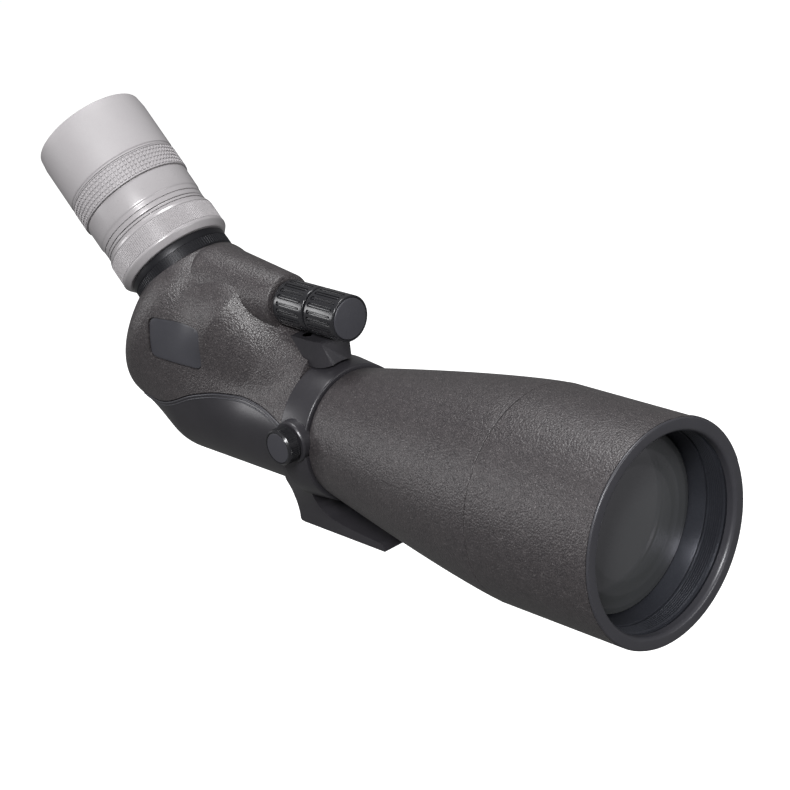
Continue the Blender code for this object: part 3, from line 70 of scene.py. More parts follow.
class Body(Enum):
    """The moving bodies that pieces ride on."""

    COLLAR = "collar"
    SCOPE = "scope_body"
    HOOD = "hood"
    COARSE = "coarse_drive"
    FINE = "fine_drive"
    CLAMP = "clamp_handle"
    EYEPIECE = "eyepiece"
    ZOOM = "zoom_collar"
    EYECUP = "eyecup_slide"


# Shader building


class Wire:
    """A socket that Python arithmetic works on."""

    def __init__(self, bench: "NodeBench", socket: Any) -> None:
        """Keep the socket and the bench that can add nodes to its tree."""
        self.bench = bench
        self.socket = socket

    def _with(self, operation: str, first: Any, second: Any, clamp: bool = False) -> "Wire":
        """Add one Math node.

        Args:
            operation: the Math node's operation.
            first: its first value or wire.
            second: its second value or wire.
            clamp: whether the result is held between 0 and 1.

        Returns:
            The node's output.
        """
        return self.bench.add("ShaderNodeMath", {"operation": operation, "use_clamp": clamp},
                              {0: first, 1: second})

    def __add__(self, other: Any) -> "Wire":
        """Sum."""
        return self._with("ADD", self, other)

    __radd__ = __add__

    def __sub__(self, other: Any) -> "Wire":
        """Difference."""
        return self._with("SUBTRACT", self, other)

    def __rsub__(self, other: Any) -> "Wire":
        """Difference from a value."""
        return self._with("SUBTRACT", other, self)

    def __mul__(self, other: Any) -> "Wire":
        """Product."""
        return self._with("MULTIPLY", self, other)

    __rmul__ = __mul__

    def __truediv__(self, other: Any) -> "Wire":
        """Quotient."""
        return self._with("DIVIDE", self, other)

    def held(self) -> "Wire":
        """The same value, held between 0 and 1."""
        return self._with("ADD", self, 0.0, clamp=True)

    def root(self) -> "Wire":
        """Square root."""
        return self._with("SQRT", self, 0.0)

    def wave(self) -> "Wire":
        """Sine."""
        return self._with("SINE", self, 0.0)


class NodeBench:
    """Builds one material's node tree."""

    def __init__(self, name: str) -> None:
        """Start a material with an empty tree.

        Args:
            name: the material's name.
        """
        self.material = bpy.data.materials.new(name)
        self.material.use_nodes = True
        self.tree = self.material.node_tree
        self.tree.nodes.clear()
        place = self.tree.nodes.new("ShaderNodeTexCoord")
        self.place = Wire(self, place.outputs["Object"])

    def add(self, kind: str, settings: dict[str, Any] | None = None,
            inputs: dict[Any, Any] | None = None, output: Any = 0) -> Wire:
        """Add a node, set it up and connect it.

        Args:
            kind: the node's type.
            settings: its own settings.
            inputs: a value or a wire for each socket.
            output: the socket to return.

        Returns:
            The chosen output.
        """
        node = self.tree.nodes.new(kind)
        for key, value in (settings or {}).items():
            setattr(node, key, value)
        for key, value in (inputs or {}).items():
            if isinstance(value, Wire):
                self.tree.links.new(value.socket, node.inputs[key])
            else:
                node.inputs[key].default_value = value
        return Wire(self, node.outputs[output])

    def noise(self, across: float, detail: float = 2.0) -> Wire:
        """Noise whose lumps are about this many millimetres across."""
        return self.add("ShaderNodeTexNoise", {}, {"Vector": self.place, "Scale": 1.0 / (across * MM),
                                                   "Detail": detail, "Roughness": 0.55}, "Fac")

    def pebbles(self, across: float) -> Wire:
        """Rounded pebbles this many millimetres across, as a height that is low between them."""
        cells = self.add("ShaderNodeTexVoronoi", {"feature": "SMOOTH_F1"},
                         {"Vector": self.place, "Scale": 1.0 / (across * MM), "Smoothness": 0.35}, "Distance")
        return 1.0 - cells

    def mix(self, share: Any, first: Any, second: Any) -> Wire:
        """Blend two colours."""
        ends = [(*colour, 1.0) if isinstance(colour, tuple) else colour for colour in (first, second)]
        return self.add("ShaderNodeMix", {"data_type": "RGBA"}, {0: share, 6: ends[0], 7: ends[1]}, 2)

    def bump(self, height: Wire, depth: float, strength: float = 1.0) -> Wire:
        """Turn a height into a normal; depth is in millimetres."""
        inputs = {"Height": height, "Distance": depth * MM, "Strength": strength}
        return self.add("ShaderNodeBump", {}, inputs, "Normal")

    def shade(self, constants: dict[str, Any], varying: dict[str, Wire]) -> bpy.types.Material:
        """Finish with one Principled shader.

        Args:
            constants: sockets set to a fixed value.
            varying: sockets that take a wire.

        Returns:
            The finished material.
        """
        surface = self.add("ShaderNodeBsdfPrincipled", {}, {**constants, **varying}, "BSDF")
        output = self.tree.nodes.new("ShaderNodeOutputMaterial")
        self.tree.links.new(surface.socket, output.inputs["Surface"])
        return self.material


@dataclass(frozen=True)
class Pebbled:
    """Armour with a fine pebbled coat and light specks, partly flecks in its tone and partly painted glints.
    """

    name: str = "pebbled_armour"
    dark: Colour = (0.018, 0.016, 0.018)
    light: Colour = (0.074, 0.066, 0.068)
    fleck_and_glint_colour: Colour = (0.30, 0.28, 0.28)
    roughness: float = 0.34
    across: float = 0.95
    relief: float = 0.34
    grain: float = 0.4275
    fleck_and_glint_size: float = 0.589
    patches: float = 3.4
    clouds: float = 38.0

    def build(self) -> bpy.types.Material:
        """Make the material."""
        bench = NodeBench(self.name)
        stones = bench.pebbles(self.across)
        fine = bench.noise(self.grain, 2.0)
        broad = bench.noise(self.clouds, 3.0)
        patch = bench.noise(self.patches, 2.0)
        share = ((fine - 0.5) * 2.2 + (patch - 0.5) * 0.5 + (broad - 0.5) * 0.2 + 0.45).held()
        body = bench.mix(share, self.dark, self.light)
        # Light specks in the colour: partly flecks in the coat, partly painted glints of its sparkle
        fleck_and_glint_mask = ((bench.noise(self.fleck_and_glint_size, 1.0) - 0.61) * 7.0).held()
        colour = bench.mix(fleck_and_glint_mask * 0.38, body, self.fleck_and_glint_colour)
        rough = ((fine - 0.5) * 0.30 + (broad - 0.5) * 0.10 + self.roughness).held()
        height = stones * 0.7 + fine * 0.6
        normal = bench.bump(height, self.relief, 0.75)
        return bench.shade({"Specular IOR Level": 0.55},
                           {"Base Color": colour, "Roughness": rough, "Normal": normal})


@dataclass(frozen=True)
class Satin:
    """Smooth paint, plastic, anodising or rubber, told apart by its values."""

    name: str
    dark: Colour
    light: Colour
    roughness: float
    metallic: float = 0.0
    coat: float = 0.0
    across: float = 0.35
    relief: float = 0.01
    turned: float = 0.0
    scuffs: float = 0.05

    def build(self) -> bpy.types.Material:
        """Make the material."""
        bench = NodeBench(self.name)
        fine = bench.noise(self.across, 2.0)
        broad = bench.noise(24.0, 3.0)
        share = ((fine - 0.5) * 1.1 + (broad - 0.5) * 1.3 + 0.5).held()
        colour = bench.mix(share, self.dark, self.light)
        streaks = bench.add("ShaderNodeTexNoise", {}, {"Vector": bench.place, "Scale": 420.0, "Detail": 4.0,
                                                       "Roughness": 0.7, "Distortion": 1.2}, "Fac")
        rough = ((fine - 0.5) * 0.12 + (streaks - 0.5) * self.scuffs * 2.0 + self.roughness).held()
        height = fine
        if self.turned:
            parts = bench.add("ShaderNodeSeparateXYZ", {}, {0: bench.place}, 0)
            height = (parts * (math.tau / (self.turned * MM))).wave() * 0.5 + fine
        normal = bench.bump(height, self.relief, 0.8)
        return bench.shade({"Coat Weight": self.coat, "Coat Roughness": 0.25, "Metallic": self.metallic},
                           {"Base Color": colour, "Roughness": rough, "Normal": normal})


@dataclass(frozen=True)
class CoatedGlass:
    """A coated lens with painted shade and reflection: painted shade dark at its middle, a painted reflection
    paler towards the rim, the top and the -Y side, and painted dark rings where the inner rims would show
    faintly.
    """

    name: str = "coated_glass"
    radius: float = 38.9
    # centre: the painted shade at the middle; edge: the painted reflection towards the rim, also the dust's
    # colour
    centre: Colour = (0.050, 0.053, 0.054)
    edge: Colour = (0.115, 0.115, 0.122)
    tint: Colour = (0.80, 0.66, 0.90)
    painted_rim_rings: Sequence[Point] = ((0.60, 0.30, 38.0), (0.76, 0.42, 60.0), (0.90, 0.55, 70.0))

    def build(self) -> bpy.types.Material:
        """Make the material; its painted rim rings are centred on the optical axis."""
        bench = NodeBench(self.name)
        side, height = (bench.add("ShaderNodeSeparateXYZ", {}, {0: bench.place}, axis) for axis in "YZ")
        across = side / (self.radius * MM)
        up = (height - AXIS_HEIGHT * MM) / (self.radius * MM)
        out = (across * across + up * up).root()
        # Painted reflection: the colour pales towards the top, the -Y side and the rim
        share = (up * 0.36 + across * -0.22 + out * 0.28 + 0.34).held()
        colour = bench.mix(share, self.centre, self.edge)
        # Painted dark rings stand in for the inner rims seen through the glass
        for at, depth, sharp in self.painted_rim_rings:
            edge = ((out - at) * sharp + 0.5).held()
            colour = bench.mix(edge * depth * (1.0 - ((out - at - 0.05) * 12.0).held()), colour, self.centre)
        dust = ((bench.noise(1.1, 1.0) - 0.72) * 5.0).held()
        colour = bench.mix(dust * 0.05, colour, self.edge)
        rough = (bench.noise(9.0, 2.0) - 0.5) * 0.03 + 0.06
        return bench.shade({"Coat Weight": 0.25, "Coat Roughness": 0.02, "Specular IOR Level": 0.30,
                            "Specular Tint": (*self.tint, 1.0)}, {"Base Color": colour, "Roughness": rough})


class Palette:
    """Every finish, built once and given out by slot."""

    def __init__(self) -> None:
        """Build all finishes."""
        makers: dict[str, Any] = {
            "armour": Pebbled(),
            "paint": Satin("satin_paint", (0.026, 0.025, 0.029), (0.042, 0.040, 0.046), 0.36, 0.25, 0.15),
            "rim": Satin("satin_rim", (0.040, 0.040, 0.047), (0.056, 0.055, 0.063), 0.38, 0.2, 0.1),
            "anodised": Satin("black_anodised", (0.008, 0.008, 0.010), (0.020, 0.020, 0.024), 0.36, 0.4,
                              turned=0.9),
            "thread": Satin("filter_thread_anodised", (0.030, 0.032, 0.040), (0.055, 0.058, 0.070), 0.34,
                            0.5),
            "rubber": Satin("black_rubber", (0.012, 0.012, 0.014), (0.026, 0.026, 0.030), 0.55, relief=0.02),
            "knob": Satin("knob_black", (0.012, 0.012, 0.014), (0.030, 0.030, 0.034), 0.20, 0.2, 0.35),
            "cap": Satin("knob_cap", (0.040, 0.040, 0.048), (0.056, 0.056, 0.065), 0.42, 0.1, relief=0.02),
            "shell": Satin("pale_shell", (0.33, 0.315, 0.325), (0.40, 0.385, 0.395), 0.30, 0.1, 0.3),
            "pale_rubber": Satin("pale_rubber", (0.33, 0.315, 0.325), (0.38, 0.365, 0.375), 0.52),
            "glass": CoatedGlass(),
            "small_glass": Satin("small_glass", (0.035, 0.055, 0.052), (0.060, 0.085, 0.080), 0.05, 0.0, 1.0),
            "steel": Satin("turned_steel", (0.36, 0.36, 0.37), (0.50, 0.50, 0.51), 0.28, 1.0),
            "brass": Satin("turned_brass", (0.50, 0.37, 0.15), (0.66, 0.50, 0.24), 0.30, 1.0),
            "felt": Satin("black_felt", (0.010, 0.010, 0.011), (0.030, 0.030, 0.032), 0.9, relief=0.06),
        }
        self.finishes = {key: maker.build() for key, maker in makers.items()}

    def dress(self, piece: Piece, key: str) -> None:
        """Give a piece one finish all over."""
        piece.data.materials.clear()
        piece.data.materials.append(self.finishes[key])


# Modelling


def softened(points: Sequence[Point], turns: int = 4) -> list[tuple[float, float]]:
    """Round the corners of a line of points.

    Args:
        points: (x, y) or (x, y, reach), where reach is how far from the corner the rounding starts.
        turns: segments in each rounded corner.

    Returns:
        The rounded line.
    """
    line: list[tuple[float, float]] = []
    for number, point in enumerate(points):
        here = Vector(point[:2])
        reach = point[2] if len(point) > 2 else 0.0
        if reach <= 0.0 or number in (0, len(points) - 1):
            line.append((here.x, here.y))
            continue
        back = Vector(points[number - 1][:2]) - here
        ahead = Vector(points[number + 1][:2]) - here
        reach = min(reach, back.length * 0.49, ahead.length * 0.49)
        start, end = here + back.normalized() * reach, here + ahead.normalized() * reach
        for step in range(turns + 1):
            share = step / turns
            spot = start * (1 - share) ** 2 + here * (2 * share * (1 - share)) + end * share ** 2
            line.append((spot.x, spot.y))
    return line


class Bench:
    """Blender's own modelling operators, used as by hand."""

    @staticmethod
    def clear() -> None:
        """Leave edit mode and select nothing."""
        if bpy.context.mode != "OBJECT":
            bpy.ops.object.mode_set(mode="OBJECT")
        bpy.ops.object.select_all(action="DESELECT")

    @staticmethod
    def only(piece: Piece) -> None:
        """Select one piece and make it active."""
        Bench.clear()
        piece.select_set(True)
        bpy.context.view_layer.objects.active = piece

    @staticmethod
    def whole(piece: Piece) -> None:
        """Open a piece in edit mode with all of it selected."""
        Bench.only(piece)
        bpy.ops.object.mode_set(mode="EDIT")
        bpy.ops.mesh.select_all(action="SELECT")

    @staticmethod
    def line(name: str, points: Sequence[Vector]) -> Piece:
        """Draw a chain of edges by extruding a single point.

        Args:
            name: the piece's name.
            points: the chain's points, in millimetres.

        Returns:
            The piece, in edit mode.
        """
        Bench.clear()
        bpy.ops.mesh.primitive_plane_add(size=MM)
        piece = bpy.context.object
        piece.name = piece.data.name = name
        bpy.ops.object.mode_set(mode="EDIT")
        bpy.ops.mesh.select_mode(type="VERT")
        bpy.ops.mesh.select_all(action="SELECT")
        bpy.ops.mesh.merge(type="CENTER")
        bpy.ops.transform.translate(value=points[0] * MM)
        for before, after in zip(points[:-1], points[1:]):
            bpy.ops.mesh.extrude_vertices_move(TRANSFORM_OT_translate={"value": (after - before) * MM})
        bpy.ops.mesh.select_all(action="SELECT")
        return piece

    @staticmethod
    def turned(name: str, profile: Sequence[Point], steps: int = ROUND_STEPS, turns: int = 4) -> Piece:
        """Spin a profile about X.

        Args:
            name: the piece's name.
            profile: (station, radius) points in millimetres, with an optional rounding reach.
            steps: facets round the piece.
            turns: segments in each rounded corner.

        Returns:
            The closed piece, with its normals outwards.
        """
        points = [Vector((x, 0.0, radius)) for x, radius in softened(profile, turns)]
        piece = Bench.line(name, points)
        bpy.ops.mesh.spin(steps=steps, angle=math.tau, center=(0, 0, 0), axis=(1, 0, 0))
        Bench.sewn()
        return piece

    @staticmethod
    def drum(name: str, start: float, end: float, radius: float, steps: int) -> Piece:
        """A plain solid cylinder between two stations on X."""
        return Bench.turned(name, [(start, 0.0), (start, radius), (end, radius), (end, 0.0)], steps)

    @staticmethod
    def sewn() -> None:
        """Merge doubles, turn the faces outwards and leave edit mode."""
        bpy.ops.mesh.select_all(action="SELECT")
        bpy.ops.mesh.remove_doubles(threshold=0.000004)
        bpy.ops.mesh.normals_make_consistent(inside=False)
        bpy.ops.object.mode_set(mode="OBJECT")

    @staticmethod
    def slab(name: str, outline: Sequence[Point], near: float, far: float, turns: int = 4) -> Piece:
        """Extrude a closed outline in XZ along Y.

        Args:
            name: the piece's name.
            outline: (x, z) points in millimetres, with an optional rounding reach.
            near: where the slab starts along Y.
            far: where it ends.
            turns: segments in each rounded corner.

        Returns:
            The closed slab.
        """
        around = softened([*outline, outline[0][:2]], turns)
        piece = Bench.line(name, [Vector((x, near, z)) for x, z in around])
        bpy.ops.mesh.remove_doubles(threshold=0.000002)
        bpy.ops.mesh.edge_face_add()
        bpy.ops.mesh.extrude_region_move(TRANSFORM_OT_translate={"value": (0.0, (far - near) * MM, 0.0)})
        Bench.sewn()
        return piece

    @staticmethod
    def block(name: str, low: Point, high: Point) -> Piece:
        """A box between two corners, in millimetres."""
        Bench.clear()
        middle = [(a + b) / 2 * MM for a, b in zip(low, high)]
        bpy.ops.mesh.primitive_cube_add(size=1.0, location=middle)
        piece = bpy.context.object
        piece.name = piece.data.name = name
        piece.scale = [(b - a) * MM for a, b in zip(low, high)]
        bpy.ops.object.transform_apply(location=True, rotation=True, scale=True)
        return piece

    @staticmethod
    def modify(piece: Piece, kind: str, **settings: Any) -> Piece:
        """Add one modifier, set it up and apply it."""
        Bench.only(piece)
        modifier = piece.modifiers.new(kind.title(), kind)
        for key, value in settings.items():
            setattr(modifier, key, value)
        bpy.ops.object.modifier_apply(modifier=modifier.name)
        return piece

    @staticmethod
    def bevel(piece: Piece, width: float, segments: int = 3, angle: float = 30.0) -> Piece:
        """Round the sharp edges by this many millimetres."""
        return Bench.modify(piece, "BEVEL", width=width * MM, segments=segments, limit_method="ANGLE",
                            angle_limit=math.radians(angle), harden_normals=False)

    @staticmethod
    def combine(piece: Piece, tool: Piece, operation: str = "DIFFERENCE", at: Matrix | None = None) -> Piece:
        """Cut, join or keep the common part of two closed pieces, and use up the second.

        Args:
            piece: the piece that is changed.
            tool: the other piece.
            operation: DIFFERENCE, UNION or INTERSECT.
            at: where the other piece goes first.

        Returns:
            The changed piece.
        """
        if at is not None:
            Bench.place(tool, at)
        Bench.modify(piece, "BOOLEAN", operation=operation, object=tool, solver="MANIFOLD")
        bpy.data.objects.remove(tool, do_unlink=True)
        return piece

    @staticmethod
    def spread(piece: Piece, count: int, start: float = 0.0) -> Piece:
        """Repeat a piece round X.

        Args:
            piece: the piece that is repeated.
            count: how many there are in the full turn.
            start: degrees that the first one is turned by.

        Returns:
            The piece, now holding every copy.
        """
        Bench.place(piece, Matrix.Rotation(math.radians(start), 4, "X"))
        Bench.whole(piece)
        bpy.ops.mesh.spin(steps=count - 1, dupli=True, angle=math.tau * (count - 1) / count,
                          center=(0, 0, 0), axis=(1, 0, 0))
        bpy.ops.object.mode_set(mode="OBJECT")
        return piece

    @staticmethod
    def place(piece: Piece, matrix: Matrix) -> Piece:
        """Move a piece into place and put the place in its mesh."""
        Bench.only(piece)
        piece.matrix_world = matrix
        bpy.ops.object.transform_apply(location=True, rotation=True, scale=True)
        return piece

    @staticmethod
    def join(name: str, pieces: Sequence[Piece]) -> Piece:
        """Make one piece of several."""
        Bench.clear()
        for piece in pieces:
            piece.select_set(True)
        bpy.context.view_layer.objects.active = pieces[0]
        bpy.ops.object.join()
        pieces[0].name = pieces[0].data.name = name
        return pieces[0]

    @staticmethod
    def copy(piece: Piece, name: str) -> Piece:
        """A second piece with its own mesh."""
        other = piece.copy()
        other.data = piece.data.copy()
        other.name = other.data.name = name
        bpy.context.scene.collection.objects.link(other)
        return other


@dataclass
class Assembly:
    """What every sub-assembly has: the palette and a way to finish a piece."""

    palette: Palette

    def done(self, piece: Piece, body: Body, slot: str, finish: str, replaces: Sequence[str] = (),
             at: Matrix | None = None, angle: float = 32.0) -> None:
        """Place and shade a piece, dress it and fix it to its body.

        Args:
            piece: the finished mesh.
            body: the body that it rides on.
            slot: the record's material slot; not used.
            finish: the palette's finish.
            replaces: CAD nodes that it stands for.
            at: where the piece goes, if it isn't there yet.
            angle: edges sharper than this many degrees stay sharp.
        """
        if at is not None:
            Bench.place(piece, at)
        Bench.only(piece)
        bpy.ops.object.shade_smooth_by_angle(angle=math.radians(angle))
        self.palette.dress(piece, finish)
        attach(piece, body.value)
        if replaces:
            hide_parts(*replaces)
        LOG.info("%s: %d faces on %s", piece.name, len(piece.data.polygons), body.value)


@dataclass
class ObjectiveEnd(Assembly):
    """Tapered tube, lens hood, cell with its filter thread, and the front glass."""

    hood_front: float = 178.0
    hood_rear: float = 113.6
    hood_radius: float = 46.5
    hood_bore: float = 44.4
    lip_bore: float = 40.8
    shoulder: float = 2.5
    tube_front_radius: float = 46.4
    tube_rear_radius: float = 29.1
    taper_power: float = 1.22
    sleeve_radius: float = 43.6
    sleeve_bore: float = 41.6
    sleeve_front: float = 161.3
    journal: float = 26.6
    cell_front: float = 172.8
    cell_bore: float = 39.7
    thread_radius: float = 40.6
    thread_ridges: int = 7
    thread_pitch: float = 1.0
    thread_runout: float = 0.6
    cell_back: Point = (161.7, 41.2, 43.2)
    ring_seat: float = 44.9
    ring_back: float = 44.6
    glass_edge: float = 157.0
    glass_radius: float = 37.4
    glass_bulge: float = 4.6
    glass_rings: int = 18
    wall: float = 2.4
    spigot_rear: float = -19.9
    spigot_front: float = -13.5
    spigot_radius: float = 26.0
    spigot_bore: float = 24.0
    bore_step: float = 7.3
    taper_cuts: int = 28
    crown_start: float = math.radians(-24.0)
    crown_sweep: float = math.radians(48.0)

    def build(self) -> None:
        """Model every piece."""
        self.tube()
        self.hood()
        self.cell()
        self.glass()

    def radius_at(self, x: float) -> float:
        """Outer radius of the taper."""
        share = (x - self.shoulder) / (self.hood_rear - GAP - self.shoulder)
        rise = self.tube_front_radius - self.tube_rear_radius
        return self.tube_rear_radius + rise * (1.0 - (1.0 - share) ** self.taper_power)

    def tube(self) -> None:
        """The main tube with its journal and the sleeve under the hood."""
        end = self.hood_rear - GAP
        cuts = self.taper_cuts
        stations = [self.shoulder + (end - self.shoulder) * number / cuts for number in range(cuts + 1)]
        outside: list[Point] = [(self.spigot_rear, self.spigot_bore), (self.spigot_rear, self.spigot_radius),
                                (self.spigot_front, self.spigot_radius), (self.spigot_front, self.journal),
                                (self.shoulder, self.journal), (self.shoulder, self.tube_rear_radius, 0.6)]
        outside += [(x, self.radius_at(x)) for x in stations[1:-1]]
        outside += [(end, self.tube_front_radius, 0.35), (end, self.sleeve_radius),
                    (self.sleeve_front, self.sleeve_radius), (self.sleeve_front, self.sleeve_bore)]
        wall = self.wall
        inside = [(x + wall, min(self.radius_at(x) - wall, self.sleeve_bore))
                  for x in reversed(stations[2:-1:3])]
        profile = [*outside, *inside, (self.bore_step, self.spigot_bore), outside[0]]
        piece = Bench.turned("tube_skin", profile)
        self.done(piece, Body.SCOPE, "pebbled_armour", "armour", ["main_tube"], at=OPTICAL)

    def hood(self) -> None:
        """The sliding hood, its satin front ring and the thin lip on its crown."""
        front, rear = self.hood_front, self.hood_rear
        seat = front - 1.1
        profile = [(rear, self.hood_bore), (rear, self.hood_radius, 0.35), (seat, self.hood_radius),
                   (seat, self.ring_seat), (front - 4.4, self.ring_seat), (front - 4.4, self.hood_bore),
                   (rear, self.hood_bore)]
        piece = Bench.turned("hood_skin", profile)
        self.done(piece, Body.HOOD, "pebbled_armour", "armour", ["lens_hood"], at=OPTICAL)
        back = self.ring_back
        ring = [(front - 4.0, back), (seat + 0.15, back), (seat + 0.15, self.hood_radius - 0.1, 0.2),
                (front, self.hood_radius - 0.35, 0.7), (front, self.lip_bore + 0.9, 0.9),
                (front - 1.2, self.lip_bore, 0.6), (front - 4.0, self.lip_bore), (front - 4.0, back)]
        piece = Bench.turned("hood_front_ring", ring)
        self.done(piece, Body.HOOD, "satin_paint", "rim", at=OPTICAL)
        lip = [(front - 2.2, 0.0), (front - 2.2, 1.0, 0.3), (front - 0.6, 1.0, 0.4), (front - 0.6, 0.0)]
        self.crown(lip)

    def crown(self, section: Sequence[Point]) -> None:
        """A thin raised lip over part of the hood's crown, with its ends cut square."""
        base = self.hood_radius - 0.6
        points = [Vector((x, 0.0, base + rise)) for x, rise in softened([*section, section[0]], 3)]
        piece = Bench.line("crown_lip", points)
        bpy.ops.mesh.remove_doubles(threshold=0.000002)
        bpy.ops.mesh.edge_face_add()
        bpy.ops.mesh.select_all(action="SELECT")
        bpy.ops.mesh.spin(steps=40, angle=self.crown_sweep, center=(0, 0, 0), axis=(1, 0, 0))
        Bench.sewn()
        Bench.place(piece, OPTICAL @ Matrix.Rotation(self.crown_start, 4, "X"))
        self.done(piece, Body.HOOD, "satin_paint", "rim")

    def cell(self) -> None:
        """Dark cell behind the lip: a smooth ring, the fine thread, steps and a conical wall."""
        front = self.cell_front
        profile: list[Point] = [(front, self.thread_radius + 2.6), (front, self.thread_radius + 0.5, 0.3)]
        x = front - 1.2
        profile += [(x, self.thread_radius + 0.5)]
        for _ in range(self.thread_ridges):
            profile += [(x - 0.30, self.thread_radius - 0.35), (x - 0.50, self.thread_radius - 0.35),
                        (x - 0.80, self.thread_radius + 0.35), (x - 0.95, self.thread_radius + 0.35)]
            x -= self.thread_pitch
        floor = x - self.thread_runout
        step, inner, outer = self.cell_back
        profile += [(floor, self.thread_radius + 0.3), (floor, self.cell_bore + 0.1, 0.3),
                    (floor - 1.6, self.cell_bore), (self.glass_edge - 1.0, self.glass_radius + 0.5),
                    (self.glass_edge - 6.0, self.glass_radius + 0.5), (self.glass_edge - 6.0, inner),
                    (step, inner), (step, outer), (front, outer), profile[0]]
        piece = Bench.turned("objective_cell_body", profile, turns=2)
        self.done(piece, Body.SCOPE, "black_anodised", "thread", ["objective_cell", "retaining_ring"],
                  at=OPTICAL)

    def glass(self) -> None:
        """The domed front element."""
        radius, bulge = self.glass_radius, self.glass_bulge
        sphere = (radius ** 2 + bulge ** 2) / (2 * bulge)
        dome = []
        for step in range(self.glass_rings + 1):
            out = radius * (1.0 - step / self.glass_rings)
            dome.append((self.glass_edge + math.sqrt(sphere ** 2 - out ** 2) - (sphere - bulge), out))
        back = self.glass_edge - 3.0
        piece = Bench.turned("front_element", [(back, 0.0), (back, radius), *dome])
        self.done(piece, Body.SCOPE, "glass", "glass", ["front_lens"], at=OPTICAL)


@dataclass
class Housing(Assembly):
    """Prism housing: pebbled shell, satin belly, parting beads, blank plate, pedestal and port ring."""

    body_radius: float = 28.8
    body_back: float = -90.5
    front: float = -13.5
    bulge_at: Point = (-117.0, 0.0, 28.0)
    bulge_size: Point = (33.5, 33.5, 41.0)
    bulge_tilt: float = 9.0
    saddle: Sequence[Point] = ((-6.0, 21.5, 14.0), (-70.0, 33.0, 20.0))
    flare: Sequence[Point] = ((-41.0, 25.0, 18.0), (-64.0, 40.0, 26.5))
    neck_radius: float = 25.8
    neck_length: float = 76.0
    blend: float = 9.0
    body_blend: float = 12.5
    neck_blend: float = 28.0
    crown_radius: float = 29.0
    crown_slope: float = 2.0
    crown_blend: float = 10.0
    wall: float = 3.0
    port_end: float = 84.7
    port_face: float = 77.4
    port_bore: float = 19.5
    port_radius: float = 24.6
    turret: Sequence[Point] = ((-84.0, 18.2), (-34.0, 12.4))
    seam: Sequence[Point] = ((-175.0, 1.0), (-117.0, 1.2), (-101.0, 1.6), (-90.0, 4.6), (-76.0, 11.0),
                             (-62.0, 14.5), (-45.0, 15.5), (-30.0, 14.0), (-20.0, 10.8), (-5.0, 4.0))
    plate_at: Point = (-82.0, 34.5)
    plate_size: Point = (29.0, 19.0)
    plate_tilt: float = -5.0
    plate_depth: float = 1.6
    pedestal_half: float = 9.6
    pedestal_foot: float = 74.0
    nose_corner: float = 9.2
    pedestal_slope: Sequence[Point] = ((-13.4, 76.6), (-23.5, 89.5))
    bush_stations: Point = (-82.0, -40.3, -32.0)
    bush_radii: Point = (8.4, 5.9)
    bore_radius: float = 26.3
    screw_stations: Point = (-46.0, -84.0)
    screw_radii: Point = (2.5, 1.5)
    screw_depth: float = 1.6
    bead_lines: Sequence[Point] = ((-0.75, 0.55), (-2.1, 0.42))
    bead_ends: Point = (-118.0, -15.0)
    bead_cuts: int = 120
    port_ribs: int = 118
    plate_corner: float = 3.6
    plate_gap: float = 0.45
    plate_face: float = 0.55
    collar_room: float = 32.9
    knob_room: float = 10.9
    heart: Point = (-82.0, 12.0)
    cuts: int = 72

    def build(self) -> None:
        """Model every piece."""
        self.line_of_seam = self.smooth_seam()
        side = self.side_at(self.plate_at[0], self.plate_at[1])
        shell = self.skin("housing_skin", 0.0, self.cuts)
        belly = Bench.copy(shell, "belly_skin")
        self.shape_shell(shell, side)
        self.shape_belly(belly)
        self.beads()
        self.plate(side)
        self.pedestal()
        self.port()

    def distance(self, spots: np.ndarray) -> np.ndarray:
        """Distance of points from the skin, in millimetres; the optical axis is at height zero."""
        lean = np.array((-math.cos(LEAN), 0.0, math.sin(LEAN)))
        crossing = np.array((EYE_AXIS_X, 0.0, 0.0))
        body = self.bar(spots, np.array((2.2 + self.body_radius, 0.0, 0.0)),
                        np.array((self.body_back, 0.0, 0.0)), self.body_radius, self.body_radius)
        neck = self.bar(spots, crossing + lean * self.neck_length * 0.6,
                        crossing + lean * (self.neck_length + 2 * self.neck_radius),
                        self.neck_radius, self.neck_radius)
        whole = self.blended(self.blended(body, self.egg(spots), self.body_blend), neck, self.neck_blend)
        for (fx, fz, fr), (rx, rz, rr) in (self.saddle, self.flare):
            ridge = self.bar(spots, np.array((fx, 0.0, fz)), np.array((rx, 0.0, rz)), fr, rr)
            whole = self.blended(whole, ridge, self.blend)
        along = (spots - crossing) @ lean
        across = np.linalg.norm(spots - crossing - along[:, None] * lean, axis=1)
        crown = across - self.crown_radius + (along - self.neck_length) * self.crown_slope
        crown /= math.hypot(1.0, self.crown_slope)
        return -self.blended(-whole, -crown, self.crown_blend)

    @staticmethod
    def blended(first: np.ndarray, second: np.ndarray, width: float) -> np.ndarray:
        """Smooth union of two distances."""
        share = np.clip(0.5 + 0.5 * (second - first) / width, 0.0, 1.0)
        return second * (1 - share) + first * share - width * share * (1 - share)

    @staticmethod
    def bar(spots: np.ndarray, start: np.ndarray, end: np.ndarray, first: float, second: float) -> np.ndarray:
        """Distance from a round bar whose radius changes along it."""
        run = end - start
        share = np.clip((spots - start) @ run / (run @ run), 0.0, 1.0)
        radius = first + (second - first) * share
        return np.linalg.norm(spots - start - share[:, None] * run, axis=1) - radius

    def egg(self, spots: np.ndarray) -> np.ndarray:
        """Near enough the distance from the leaning bulge."""
        offset = spots - np.array(self.bulge_at)
        cosine, sine = math.cos(math.radians(self.bulge_tilt)), math.sin(math.radians(self.bulge_tilt))
        turned = np.stack([offset[:, 0] * cosine + offset[:, 2] * sine, offset[:, 1],
                           offset[:, 2] * cosine - offset[:, 0] * sine], axis=1)
        size = np.array(self.bulge_size)
        scaled = turned / size
        length = np.linalg.norm(scaled, axis=1)
        steep = np.maximum(np.linalg.norm(scaled / size, axis=1), 1e-9)
        return length * (length - 1.0) / steep

